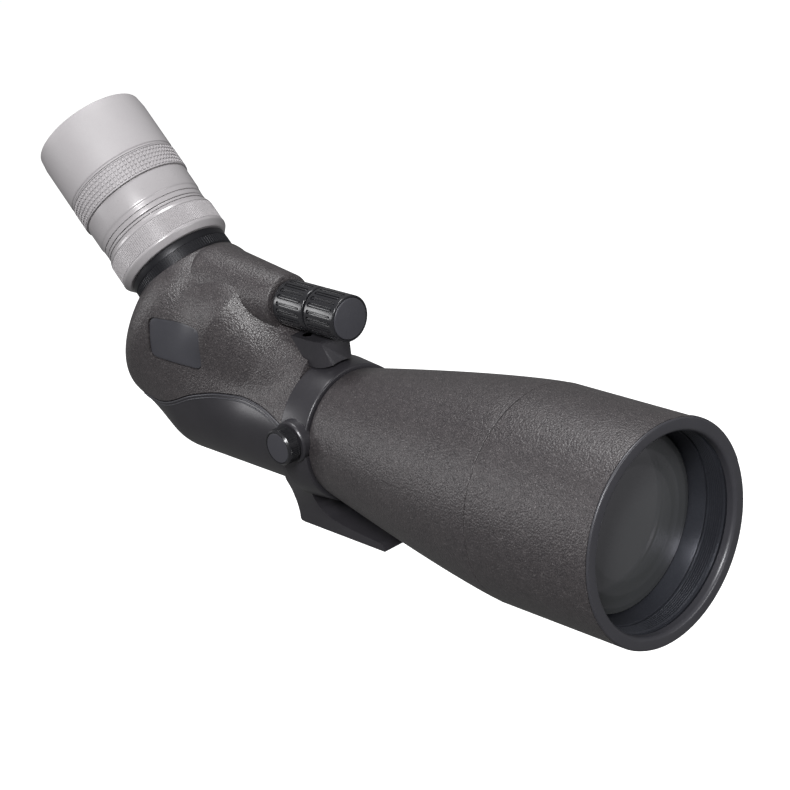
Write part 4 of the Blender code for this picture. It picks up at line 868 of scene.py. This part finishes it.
    def reach(self, starts: np.ndarray, ways: np.ndarray, inset: float) -> np.ndarray:
        """How far the skin lies from points inside, along each way."""
        near = np.zeros(len(starts))
        far = np.full(len(starts), 4.0)
        for _ in range(60):
            inside = self.distance(starts + ways * far[:, None]) + inset < 0.0
            near = np.where(inside, far, near)
            far = np.where(inside, far + 4.0, far)
            if not inside.any():
                break
        for _ in range(16):
            middle = (near + far) / 2
            inside = self.distance(starts + ways * middle[:, None]) + inset < 0.0
            near, far = np.where(inside, middle, near), np.where(inside, far, middle)
        return (near + far) / 2

    def skin(self, name: str, inset: float, cuts: int) -> Piece:
        """A subdivided cube drawn out onto the skin, then cut flat at its front.

        Args:
            name: the piece's name.
            inset: how far inside the skin it lies, in millimetres.
            cuts: cuts along each edge of the cube.

        Returns:
            The closed piece in the row frame.
        """
        piece = Bench.block(name, (-1, -1, -1), (1, 1, 1))
        Bench.whole(piece)
        bpy.ops.mesh.subdivide(number_cuts=cuts)
        bpy.ops.object.mode_set(mode="OBJECT")
        count = len(piece.data.vertices)
        spots = np.empty(count * 3, np.float32)
        piece.data.vertices.foreach_get("co", spots)
        spots = spots.reshape(-1, 3).astype(float) / MM
        ways = np.tan(spots * math.pi / 4)
        ways /= np.linalg.norm(ways, axis=1)[:, None]
        centre = np.array((self.heart[0], 0.0, self.heart[1]))
        starts = np.repeat(centre[None, :], count, axis=0)
        found = starts + ways * self.reach(starts, ways, inset)[:, None]
        found[:, 2] += AXIS_HEIGHT
        piece.data.vertices.foreach_set("co", (found * MM).astype(np.float32).ravel())
        piece.data.update()
        front = self.front - (6.4 if inset else 0.0)
        Bench.whole(piece)
        bpy.ops.mesh.bisect(plane_co=(front * MM, 0, 0), plane_no=(1, 0, 0), use_fill=True, clear_outer=True)
        Bench.sewn()
        return piece

    def smooth_seam(self) -> list[tuple[float, float]]:
        """The parting line as many short steps, rounded between its main points."""
        xs = np.array([x for x, _ in self.seam])
        zs = np.array([z for _, z in self.seam])
        fine = np.linspace(xs[0], xs[-1], 171)
        line = np.interp(fine, xs, zs)
        onward = line[-1] + (line[-1] - line[-2]) * np.arange(1, 10)
        padded = np.concatenate([np.full(9, line[0]), line, onward])
        kernel = np.hanning(19)
        line = np.convolve(padded, kernel / kernel.sum(), mode="valid")
        return [(float(x), float(z)) for x, z in zip(fine, line)]

    def below_seam(self, name: str, shift: float) -> Piece:
        """The space below the parting line, moved by shift."""
        line = [(x, z + AXIS_HEIGHT + shift) for x, z in self.line_of_seam]
        outline = [*line, (line[-1][0], -20.0), (line[0][0], -20.0)]
        return Bench.slab(name, outline, -60.0, 60.0)

    def side_at(self, x: float, z: float) -> float:
        """Distance of the right side from the middle plane."""
        start = np.array([[x, 0.0, z]])
        return float(self.reach(start, np.array([[0.0, -1.0, 0.0]]), 0.0)[0])

    def hollow(self) -> Piece:
        """The room inside, up to the port's floor."""
        room = self.skin("housing_room", self.wall, 20)
        far = self.neck_length + 4 * self.neck_radius
        floor = Bench.drum("neck_floor", self.neck_length - self.wall, far, 60.0, 64)
        return Bench.combine(room, floor, at=EYE)

    def front_bore(self) -> Piece:
        """The bore that the tube's spigot sits in."""
        return Bench.place(Bench.drum("front_bore", -41.0, -11.0, self.bore_radius, 96), OPTICAL)

    def shape_shell(self, shell: Piece, side: float) -> None:
        """Add the turret and cut everything that the upper shell has."""
        (rx, rr), (fx, fr) = self.turret
        cone = Bench.turned("turret_cone", [(rx - rr / 2, 0.0), (rx - rr / 2, rr * 0.7, 5.0), (rx, rr, 4.0),
                                            (fx - 0.2, fr, 0.8), (fx, fr - 1.0), (fx, 0.0)], 128)
        Bench.combine(shell, cone, "UNION", FOCUS)
        far = self.neck_length + 3 * self.neck_radius
        Bench.combine(shell, Bench.drum("port_face", self.port_face, far, 52.0, 128), at=EYE)
        Bench.combine(shell, self.hollow())
        Bench.combine(shell, self.front_bore())
        start, end = self.neck_length - 9.0, self.neck_length + 2.0
        Bench.combine(shell, Bench.drum("neck_bore", start, end, self.port_bore, 128), at=EYE)
        width = self.pedestal_half + GAP
        (low_x, low_z), (high_x, high_z) = self.pedestal_slope
        notch = Bench.slab("knob_notch", [(low_x - GAP, low_z - 1.0), (low_x - GAP, low_z),
                                          (high_x - GAP, high_z), (high_x - GAP, 160.0), (46.0, 160.0),
                                          (46.0, low_z - 1.0)], -width, width)
        Bench.combine(shell, notch)
        Bench.combine(shell, Bench.drum("knob_room", fx, 40.0, self.knob_room, 128), at=FOCUS)
        rear, middle, front = self.bush_stations
        wide, narrow = self.bush_radii
        bush = Bench.turned("bush_bore", [(rear, 0.0), (rear, wide), (middle, wide), (middle, narrow),
                                          (front, narrow), (front, 0.0)], 64)
        Bench.combine(shell, bush, at=FOCUS)
        recess = self.plate_slab("plate_recess", self.plate_gap, side)
        Bench.combine(recess, self.skin("recess_floor", self.plate_depth, 40))
        Bench.combine(shell, recess)
        Bench.combine(shell, self.below_seam("below_seam", GAP))
        self.done(shell, Body.SCOPE, "pebbled_armour", "armour", ["housing_shell"], angle=28.0)

    def shape_belly(self, belly: Piece) -> None:
        """Keep what lies below the parting line and hollow it."""
        Bench.combine(belly, self.below_seam("belly_space", -0.15), "INTERSECT")
        Bench.combine(belly, self.hollow())
        Bench.combine(belly, self.front_bore())
        for x in self.screw_stations:
            start = np.array([[x, 0.0, 0.0]])
            depth = float(self.reach(start, np.array([[0.0, 0.0, -1.0]]), 0.0)[0])
            seat = AXIS_HEIGHT - depth + self.screw_depth
            head, shank = self.screw_radii
            sink = Bench.turned("screw_sink", [(-8.0, 0.0), (-8.0, head), (0.0, head), (0.0, shank),
                                               (14.0, shank), (14.0, 0.0)], 48)
            up = Matrix.Translation((x * MM, 0.0, seat * MM)) @ Matrix.Rotation(-math.pi / 2, 4, "Y")
            Bench.combine(belly, Bench.place(sink, up))
        self.done(belly, Body.SCOPE, "satin_paint", "paint", ["belly_cover"], angle=28.0)

    def beads(self) -> None:
        """Two fine beads that follow the parting line on each side, from under the plate to the collar."""
        xs = np.linspace(*self.bead_ends, self.bead_cuts)
        seam_x = np.array([x for x, _ in self.line_of_seam])
        seam_z = np.array([z for _, z in self.line_of_seam])
        runs = []
        for drop, thick in self.bead_lines:
            zs = np.interp(xs, seam_x, seam_z) + drop
            starts = np.stack([xs, np.zeros_like(xs), zs], axis=1)
            for way in (-1.0, 1.0):
                ways = np.repeat(np.array([[0.0, way, 0.0]]), len(xs), axis=0)
                sides = self.reach(starts, ways, 0.0)
                points = [Vector((x, way * (y - 0.12), z + AXIS_HEIGHT)) for x, y, z in zip(xs, sides, zs)]
                piece = Bench.line("bead_run", points)
                bpy.ops.object.mode_set(mode="OBJECT")
                bpy.ops.object.convert(target="CURVE")
                piece.data.bevel_depth = thick * MM
                piece.data.bevel_resolution = 3
                piece.data.use_fill_caps = True
                bpy.ops.object.convert(target="MESH")
                runs.append(piece)
        beads = Bench.join("parting_beads", runs)
        self.done(beads, Body.SCOPE, "satin_paint", "rim", angle=50.0)

    def plate_slab(self, name: str, grow: float, side: float) -> Piece:
        """A block with rounded corners through the right side, at the plate's place."""
        half_x, half_z = self.plate_size[0] / 2 + grow, self.plate_size[1] / 2 + grow
        corner = self.plate_corner
        outline = [(0.0, half_z), (half_x, half_z, corner), (half_x, -half_z, corner),
                   (-half_x, -half_z, corner), (-half_x, half_z, corner), (-half_x / 2, half_z)]
        piece = Bench.slab(name, outline, -side - 20.0, -12.0, turns=8)
        place = Matrix.Translation((self.plate_at[0] * MM, 0.0, (AXIS_HEIGHT + self.plate_at[1]) * MM))
        return Bench.place(piece, place @ Matrix.Rotation(math.radians(-self.plate_tilt), 4, "Y"))

    def plate(self, side: float) -> None:
        """The blank plate in its recess, with softened edges."""
        piece = self.plate_slab("blank_plate", 0.0, side)
        Bench.combine(piece, self.skin("plate_face", self.plate_face, 40), "INTERSECT")
        Bench.combine(piece, self.skin("plate_back", self.plate_depth - 0.3, 40))
        Bench.bevel(piece, 0.3, 2, 50.0)
        self.done(piece, Body.SCOPE, "satin_paint", "cap", ["name_plate"])

    def pedestal(self) -> None:
        """The smooth block under the knobs, with rounded front corners."""
        _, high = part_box("focus_pedestal")
        top, front, foot = high.z / MM, high.x / MM, self.pedestal_foot
        (low_x, low_z), (high_x, high_z) = self.pedestal_slope
        outline = [(low_x, foot), (low_x, low_z), (high_x, high_z), (high_x, top), (front - 2.6, top, 1.2),
                   (front + 0.6, foot + 2.0), (front + 0.6, foot)]
        half = self.pedestal_half
        piece = Bench.slab("knob_pedestal", outline, -half, half)
        tip, corner = front + 0.8, self.nose_corner
        plan = [(high_x - 1.0, -half), (tip, -half, corner), (tip, half, corner), (high_x - 1.0, half)]
        nose = Bench.slab("nose", plan, -150.0, -60.0, turns=10)
        Bench.combine(piece, Bench.place(nose, Matrix.Rotation(-math.pi / 2, 4, "X")), "INTERSECT")
        Bench.combine(piece, Bench.drum("collar_room", -40.0, 20.0, self.collar_room, 192), at=OPTICAL)
        Bench.combine(piece, Bench.drum("knob_room_below", -60.0, 20.0, self.knob_room, 128), at=FOCUS)
        self.done(piece, Body.SCOPE, "satin_paint", "paint", ["focus_pedestal"])

    def port(self) -> None:
        """The dark ring round the port, finely ribbed."""
        low, end, bore, radius = self.neck_length + GAP, self.port_end, self.port_bore, self.port_radius
        profile = [(low, bore), (low, radius - 0.2), (end - 3.4, radius - 0.2), (end - 3.4, radius, 0.1),
                   (end, radius, 0.5), (end, bore), (low, bore)]
        ring = Bench.turned("port_ring_core", profile)
        rib = Bench.block("port_rib", (low + 0.6, -0.32, radius - 0.6), (end - 3.7, 0.32, radius + 0.05))
        Bench.bevel(rib, 0.12, 1)
        ribs = Bench.spread(rib, self.port_ribs)
        piece = Bench.join("ribbed_port_ring", [ring, ribs])
        self.done(piece, Body.SCOPE, "black_anodised", "anodised", ["port_ring"], at=EYE)


@dataclass
class FocusDrive(Assembly):
    """Coarse and fine focus knobs on one axis."""

    radius: float = 10.3
    coarse: Point = (-33.0, -13.6)
    fine: Point = (-12.6, 6.2)
    slots: int = 20
    cap_radius: float = 9.2

    def build(self) -> None:
        """Model both knobs and the cap."""
        self.knob("coarse_knob_grip", self.coarse, 3.3, Body.COARSE, ["coarse_focus_knob"], (2.2, 2.4), False)
        self.knob("fine_knob_grip", self.fine, 1.6, Body.FINE, ["fine_focus_knob"], (1.6, 2.0), True)
        front = self.fine[1]
        cap = Bench.turned("fine_knob_disc", [(front - 1.4, 0.0), (front - 1.4, self.cap_radius),
                                              (front + 0.35, self.cap_radius, 0.5), (front + 0.35, 0.0)])
        self.done(cap, Body.FINE, "satin_paint", "cap", ["fine_knob_cap"], at=FOCUS)

    def knob(self, name: str, ends: Point, bore: float, body: Body, replaces: Sequence[str],
             rims: Point, open_front: bool) -> None:
        """One knob: a ring with round-ended slots and a rib standing in each.

        Args:
            name: the piece's name.
            ends: rear and front stations.
            bore: radius of the hole through it.
            body: the body that it rides on.
            replaces: CAD nodes that it stands for.
            rims: plain length left at the rear and at the front.
            open_front: whether the front is sunk for a cap.
        """
        rear, front = ends
        profile: list[Point] = [(rear, bore), (rear, self.radius, 0.7), (front, self.radius, 0.7)]
        if open_front:
            wall, floor = self.cap_radius + 0.25, front - 1.7
            profile += [(front, wall), (floor, wall), (floor, bore)]
        else:
            profile += [(front, bore)]
        profile += [(rear, bore)]
        ring = Bench.turned(name, profile)
        low, high = rear + rims[0], front - rims[1]
        slot = self.capsule("knob_slot", low, high, 0.98, self.radius - 0.75, self.radius + 1.0)
        Bench.combine(ring, Bench.spread(slot, self.slots))
        rib = self.capsule("knob_rib", low + 0.62, high - 0.62, 0.40, self.radius - 1.1, self.radius - 0.05)
        Bench.bevel(rib, 0.12, 2, 50.0)
        piece = Bench.join(name, [ring, Bench.spread(rib, self.slots)])
        self.done(piece, body, "black_rubber", "knob", replaces, at=FOCUS)

    @staticmethod
    def capsule(name: str, low: float, high: float, half: float, floor: float, top: float) -> Piece:
        """A bar with round ends along X, standing between two heights."""
        middle = 0.5 * (low + high)
        outline = [(middle, half), (high, half, half), (high, -half, half), (low, -half, half),
                   (low, half, half), (0.5 * (low + middle), half)]
        piece = Bench.slab(name, outline, floor, top, turns=5)
        return Bench.place(piece, Matrix.Rotation(math.pi / 2, 4, "X"))


@dataclass
class TripodCollar(Assembly):
    """Collar band, arm and foot in one casting, with the clamp knob."""

    rear: float = -13.2
    front: float = 2.2
    rear_radius: float = 32.3
    front_radius: float = 30.9
    lip: float = 27.0
    foot_half: float = 13.6
    foot_rear: float = -27.0
    foot_front: float = 27.6
    arm_half: float = 30.6
    knob_radius: float = 8.2
    knob_start: float = 32.7
    knob_length: float = 6.6
    knurls: int = 54
    housing_room: float = 29.3
    liner_radius: float = 28.1
    shank_radius: float = 2.7
    knob_recess: float = 6.9
    disc_radius: float = 6.75
    foot_holes: Sequence[Point] = ((8.0, 5.3, 4.5), (-12.0, 2.3, 4.5))

    def build(self) -> None:
        """Model the casting and the knob."""
        self.casting()
        self.clamp()

    def casting(self) -> None:
        """Arm and foot from a side view and a front view, joined to the band and bored."""
        top = AXIS_HEIGHT
        side = [(self.rear, top), (self.rear - 2.5, top * 0.87, 4.0), (self.rear - 9.0, top * 0.62, 6.0),
                (self.foot_rear - 0.6, top * 0.26, 5.0), (self.foot_rear - 1.4, 1.6, 1.2),
                (self.foot_rear, 0.0, 1.0), (self.foot_front - 1.2, 0.0, 0.5), (self.foot_front, 1.2, 0.8),
                (self.foot_front - 2.8, 4.0, 0.6), (2.5, 6.0, 6.0), (-6.5, 8.2, 4.0), (-10.8, 12.0, 3.0),
                (-11.2, 17.5, 4.0), (self.front - 8.0, top * 0.66, 5.0), (self.front, top)]
        half = self.foot_half
        wing = [(half - 0.6, 0.0), (half, 0.8, 0.4), (half, 4.0, 2.0), (half + 1.2, 10.0, 4.0),
                (half + 4.6, 18.0, 5.0), (self.arm_half - 5.2, top * 0.64, 7.0), (self.arm_half, top)]
        front_view = [*wing, *[(-point[0], *point[1:]) for point in reversed(wing)]]
        casting = Bench.slab("collar_casting", side, -40.0, 40.0, turns=5)
        across = Bench.slab("front_view", front_view, -70.0, 70.0, turns=5)
        Bench.combine(casting, Bench.place(across, Matrix.Rotation(math.pi / 2, 4, "Z")), "INTERSECT")
        Bench.bevel(casting, 0.7, 3, 40.0)
        band = Bench.turned("band", [(self.rear, self.lip - 2.0), (self.rear, self.rear_radius, 1.0),
                                     (self.front, self.front_radius, 1.0), (self.front, self.lip - 2.0),
                                     (self.rear, self.lip - 2.0)])
        Bench.combine(casting, band, "UNION", OPTICAL)
        boss = Bench.turned("clamp_boss", [(26.6, 0.0), (26.6, 9.6), (31.6, 9.5, 0.8), (32.4, 8.9),
                                           (32.4, 0.0)], 96)
        Bench.combine(casting, boss, "UNION", CLAMP)
        room, far = self.housing_room, 50.0
        bore = Bench.turned("collar_bore", [(-far, 0.0), (-far, room), (self.rear, room),
                                            (self.rear, self.lip), (self.front, self.lip),
                                            (self.front, room), (far, room), (far, 0.0)])
        Bench.combine(casting, bore, at=OPTICAL)
        rear, front, deep = self.rear + 1.7, self.front - 1.7, self.liner_radius
        groove = Bench.turned("liner_groove", [(rear, 20.0), (rear, deep), (front, deep), (front, 20.0),
                                               (rear, 20.0)])
        Bench.combine(casting, groove, at=OPTICAL)
        shank = Bench.turned("shank_hole", [(18.0, 0.0), (18.0, 4.6), (30.6, 4.6), (30.6, 3.0), (36.0, 3.0),
                                            (36.0, 0.0)], 64)
        Bench.combine(casting, shank, at=CLAMP)
        up = Matrix.Rotation(-math.pi / 2, 4, "Y")
        for x, radius, depth in self.foot_holes:
            hole = Bench.drum("foot_hole", -2.0, depth, radius, 64)
            Bench.combine(casting, Bench.place(hole, Matrix.Translation((x * MM, 0, 0)) @ up))
        self.done(casting, Body.COLLAR, "satin_paint", "paint", ["tripod_collar"], angle=28.0)

    def clamp(self) -> None:
        """The knurled clamp knob with its flat cap."""
        start, end = self.knob_start, self.knob_start + self.knob_length
        core, shank, recess = self.knob_radius - 0.45, self.shank_radius, self.knob_recess
        knob = Bench.turned("knob_core", [(29.6, 0.0), (29.6, shank), (start, shank), (start, core, 0.4),
                                          (end - 0.9, core), (end - 0.9, self.knob_radius - 0.15),
                                          (end, self.knob_radius - 0.75), (end, recess), (end - 1.1, recess),
                                          (end - 1.1, 0.0)], 108)
        rib = Bench.block("knurl", (start + 0.5, -0.27, core - 0.2), (end - 1.0, 0.27, self.knob_radius))
        Bench.bevel(rib, 0.14, 1)
        piece = Bench.join("clamp_knob_grip", [knob, Bench.spread(rib, self.knurls)])
        self.done(piece, Body.CLAMP, "black_rubber", "knob", ["clamp_knob"], at=CLAMP)
        disc = self.disc_radius
        cap = Bench.turned("clamp_knob_disc", [(end - 1.0, 0.0), (end - 1.0, disc), (end - 0.05, disc, 0.35),
                                               (end - 0.05, 0.0)], 108)
        self.done(cap, Body.CLAMP, "satin_paint", "cap", ["clamp_knob_cap"], at=CLAMP)


@dataclass
class Eyepiece(Assembly):
    """Pale zoom eyepiece: fluted base, grooves, smooth ring, waffle grip and twist-up cup."""

    base: float = 85.0
    base_radius: float = 27.7
    flange_end: float = 100.2
    base_end: float = 103.2
    groove: float = 26.4
    barrel: float = 21.6
    bore: float = 16.0
    barrel_end: float = 152.0
    ring_start: float = 103.6
    ring_radius: float = 26.9
    grip_start: float = 120.4
    grip_end: float = 132.0
    grip_radius: float = 27.7
    cup_start: float = 132.4
    cup_end: float = 162.6
    cup_radius: float = 27.6
    grip_seat: float = 26.0
    grip_bore: float = 26.3
    cam_room: Point = (106.0, 120.0, 24.3)
    flute_end: float = 98.6
    cup_opening: float = 17.0
    cup_floor: float = 152.4
    stub_end: float = 62.0
    stub_radius: float = 19.2
    flutes: int = 176
    waffle_columns: int = 84
    waffle_rows: int = 5

    def build(self) -> None:
        """Model every piece."""
        self.base_barrel()
        self.zoom_ring()
        self.grip()
        self.cup()

    def base_barrel(self) -> None:
        """Stub, chamfered flange, fluted base ring and the barrel inside."""
        base, radius = self.base, self.base_radius
        stub, end = self.stub_radius, self.stub_end
        profile = [(end, self.bore), (end, stub, 0.4), (base, stub), (base, radius - 2.2, 0.5),
                   (base + 2.6, radius, 0.8), (base + 3.6, radius, 0.3), (base + 3.8, radius - 0.45),
                   (self.flute_end, radius - 0.45), (self.flute_end + 0.2, radius - 0.2),
                   (self.flange_end, radius - 0.6, 0.6),
                   (self.flange_end, self.groove), (101.4, self.groove), (101.4, self.groove - 0.8),
                   (102.0, self.groove - 0.8), (102.0, self.groove), (self.base_end, self.groove, 0.3),
                   (self.base_end, self.barrel), (self.barrel_end, self.barrel), (self.barrel_end, self.bore),
                   (end, self.bore)]
        core = Bench.turned("base_core", profile)
        slot = Bench.block("pin_slot", (107.5, -1.5, 13.0), (118.5, 1.5, 24.6))
        Bench.combine(core, slot)
        flute = Bench.block("flute", (base + 4.1, -0.30, radius - 0.9), (98.3, 0.30, radius - 0.12))
        Bench.bevel(flute, 0.16, 1)
        piece = Bench.join("fluted_base", [core, Bench.spread(flute, self.flutes)])
        self.done(piece, Body.EYEPIECE, "pale_shell", "shell", ["eyepiece_barrel"], at=EYE)

    def zoom_ring(self) -> None:
        """The turning ring with two steps at its rear and a plain shiny band."""
        start, bore, seat = self.ring_start, self.barrel + GAP, self.grip_seat
        cam_start, cam_end, cam = self.cam_room
        profile = [(start, bore), (start, self.groove - 0.1, 0.3), (start + 2.2, self.groove - 0.1),
                   (start + 2.2, self.groove - 0.7), (start + 2.7, self.groove - 0.7),
                   (start + 2.7, self.groove, 0.2), (start + 4.8, self.groove, 0.3),
                   (start + 5.6, self.ring_radius - 0.1, 0.8), (self.grip_start - GAP, self.ring_radius, 0.3),
                   (self.grip_start - GAP, seat), (self.grip_end, seat, 0.3), (self.grip_end, bore),
                   (cam_end, bore), (cam_end, cam), (cam_start, cam), (cam_start, bore), (start, bore)]
        piece = Bench.turned("zoom_ring_band", profile)
        self.done(piece, Body.ZOOM, "pale_shell", "shell", ["zoom_ring"], at=EYE)

    def grip(self) -> None:
        """Rubber grip with rows of small raised squares."""
        low, high, radius = self.grip_start, self.grip_end, self.grip_radius
        floor, edge = radius - 0.62, radius - 0.1
        profile = [(low, self.grip_bore), (low, edge, 0.3), (low + 0.5, edge), (low + 0.5, floor),
                   (high - 0.5, floor), (high - 0.5, edge), (high, edge, 0.3), (high, self.grip_bore),
                   (low, self.grip_bore)]
        sleeve = Bench.turned("grip_sleeve", profile)
        pitch = (high - low - 1.2) / self.waffle_rows
        half = math.pi * radius / self.waffle_columns * 0.62
        squares = []
        for row in range(self.waffle_rows):
            start = low + 0.6 + row * pitch + pitch * 0.16
            square = Bench.block("waffle", (start, -half, floor - 0.3), (start + pitch * 0.68, half, radius))
            Bench.bevel(square, 0.18, 1)
            squares.append(square)
        column = Bench.join("waffle_column", squares)
        piece = Bench.join("waffle_grip", [sleeve, Bench.spread(column, self.waffle_columns)])
        self.done(piece, Body.ZOOM, "pale_rubber", "pale_rubber", ["zoom_grip"], at=EYE)

    def cup(self) -> None:
        """The twist-up eyecup with a rolled lip."""
        start, end, radius = self.cup_start, self.cup_end, self.cup_radius
        inner = self.barrel + 2.2
        profile = [(start, inner), (start, radius - 0.5, 0.4), (start + 0.9, radius - 0.45),
                   (start + 1.3, radius, 0.5), (end - 6.0, radius), (end, radius - 0.7, 1.1),
                   (end, radius - 2.2, 0.8), (157.0, radius - 3.2, 2.0),
                   (154.4, self.cup_opening, 0.8), (self.cup_floor, self.cup_opening),
                   (self.cup_floor, inner), (start, inner)]
        piece = Bench.turned("eyecup_sleeve", profile)
        self.done(piece, Body.EYECUP, "pale_rubber", "pale_rubber", ["eyecup"], at=EYE)


@dataclass
class KeptPieces(Assembly):
    """CAD pieces whose shape is right: each gets its finish."""

    groups: dict[str, Sequence[str]] = field(default_factory=lambda: {
        "anodised": ("hood_stop_ring", "tube_baffle", "lens_spacer", "prism_carrier", "focus_cell",
                     "zoom_cell", "field_stop", "eye_lens_cell", "eyecup_guide"),
        "felt": ("hood_friction_ring",),
        "rubber": ("tube_seal", "port_seal", "collar_liner", "clamp_shoe"),
        "small_glass": ("rear_lens", "focus_lens", "zoom_lens", "field_lens", "eye_lens", "erecting_prism",
                        "exit_prism"),
        "steel": ("focus_shaft", "fine_spindle", "guide_rod_left", "guide_rod_right", "prism_strap",
                  "belly_screw_1", "belly_screw_2", "pedestal_screw_1", "pedestal_screw_2", "zoom_pin"),
        "brass": ("foot_insert", "focus_bush")})

    def build(self) -> None:
        """Dress every CAD piece that still shows."""
        finishes = {name: finish for finish, names in self.groups.items() for name in names}
        for name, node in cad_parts.items():
            if not node.hide_render:
                self.palette.dress(node, finishes[name])


@dataclass
class Studio:
    """Floor, soft lights and camera."""

    camera_at: Point = (0.678354, -0.570757, 0.427902)
    right: Point = (0.68839, 0.71801, -0.10289)
    down: Point = (0.21169, -0.33455, -0.91830)
    ahead: Point = (-0.69377, 0.61036, -0.38229)
    lens: float = 100.25
    sensor_width: float = 36.0
    floor_drop: float = 0.30
    aim: Point = (0.02, 0.0, 0.06)
    surround: float = 0.16
    boxes: Sequence[tuple[str, Point, float, float]] = (
        ("key", (0.70, -0.95, 0.95), 0.40, 24.0), ("top", (-0.3, 0.1, 1.4), 0.45, 11.0),
        ("side", (-1.2, -1.0, 0.4), 0.5, 5.0), ("front", (1.4, 0.3, 0.4), 0.5, 6.0))

    def build(self) -> None:
        """Set up everything that isn't the object."""
        self.floor()
        self.lights()
        self.camera()

    def floor(self) -> None:
        """A wide white floor well below the scope, which gives it no light."""
        Bench.clear()
        bpy.ops.mesh.primitive_plane_add(size=40.0, location=(0.0, 0.0, -self.floor_drop))
        plane = bpy.context.object
        plane.name = "studio_floor"
        bench = NodeBench("studio_white")
        material = bench.shade({"Base Color": (0.92, 0.92, 0.92, 1.0), "Roughness": 0.9,
                                "Emission Color": (1.0, 1.0, 1.0, 1.0), "Emission Strength": 0.80}, {})
        plane.data.materials.append(material)
        plane.visible_diffuse = plane.visible_glossy = False

    def lights(self) -> None:
        """Four softboxes and an even pale surround."""
        bpy.context.scene.view_settings.view_transform = "Standard"
        world = bpy.data.worlds.new("studio")
        bpy.context.scene.world = world
        world.use_nodes = True
        ground = world.node_tree.nodes["Background"]
        ground.inputs["Color"].default_value = (1.0, 1.0, 1.0, 1.0)
        ground.inputs["Strength"].default_value = self.surround
        for name, at, size, power in self.boxes:
            light = bpy.data.lights.new(name, "AREA")
            light.size = size
            light.energy = power
            lamp = bpy.data.objects.new(name, light)
            lamp.location = at
            lamp.rotation_euler = (Vector(self.aim) - Vector(at)).to_track_quat("-Z", "Y").to_euler()
            bpy.context.scene.collection.objects.link(lamp)

    def camera(self) -> None:
        """The camera at its fitted place."""
        data = bpy.data.cameras.new("camera")
        data.lens = self.lens
        data.sensor_width = self.sensor_width
        data.clip_start = 0.01
        data.clip_end = 100.0
        camera = bpy.data.objects.new("camera", data)
        columns = (Vector(self.right), -Vector(self.down), -Vector(self.ahead))
        turn = Matrix([[column[row] for column in columns] for row in range(3)])
        camera.matrix_world = Matrix.Translation(self.camera_at) @ turn.to_4x4()
        bpy.context.scene.collection.objects.link(camera)
        bpy.context.scene.camera = camera


def main() -> None:
    """Build the scope's looks in order."""
    logging.basicConfig(level=logging.INFO, format="%(name)s: %(message)s")
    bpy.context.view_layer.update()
    Studio().build()
    palette = Palette()
    for kind in (ObjectiveEnd, Housing, FocusDrive, TripodCollar, Eyepiece, KeptPieces):
        LOG.info("building %s", kind.__name__)
        kind(palette).build()


if __name__ == "__main__":
    main()
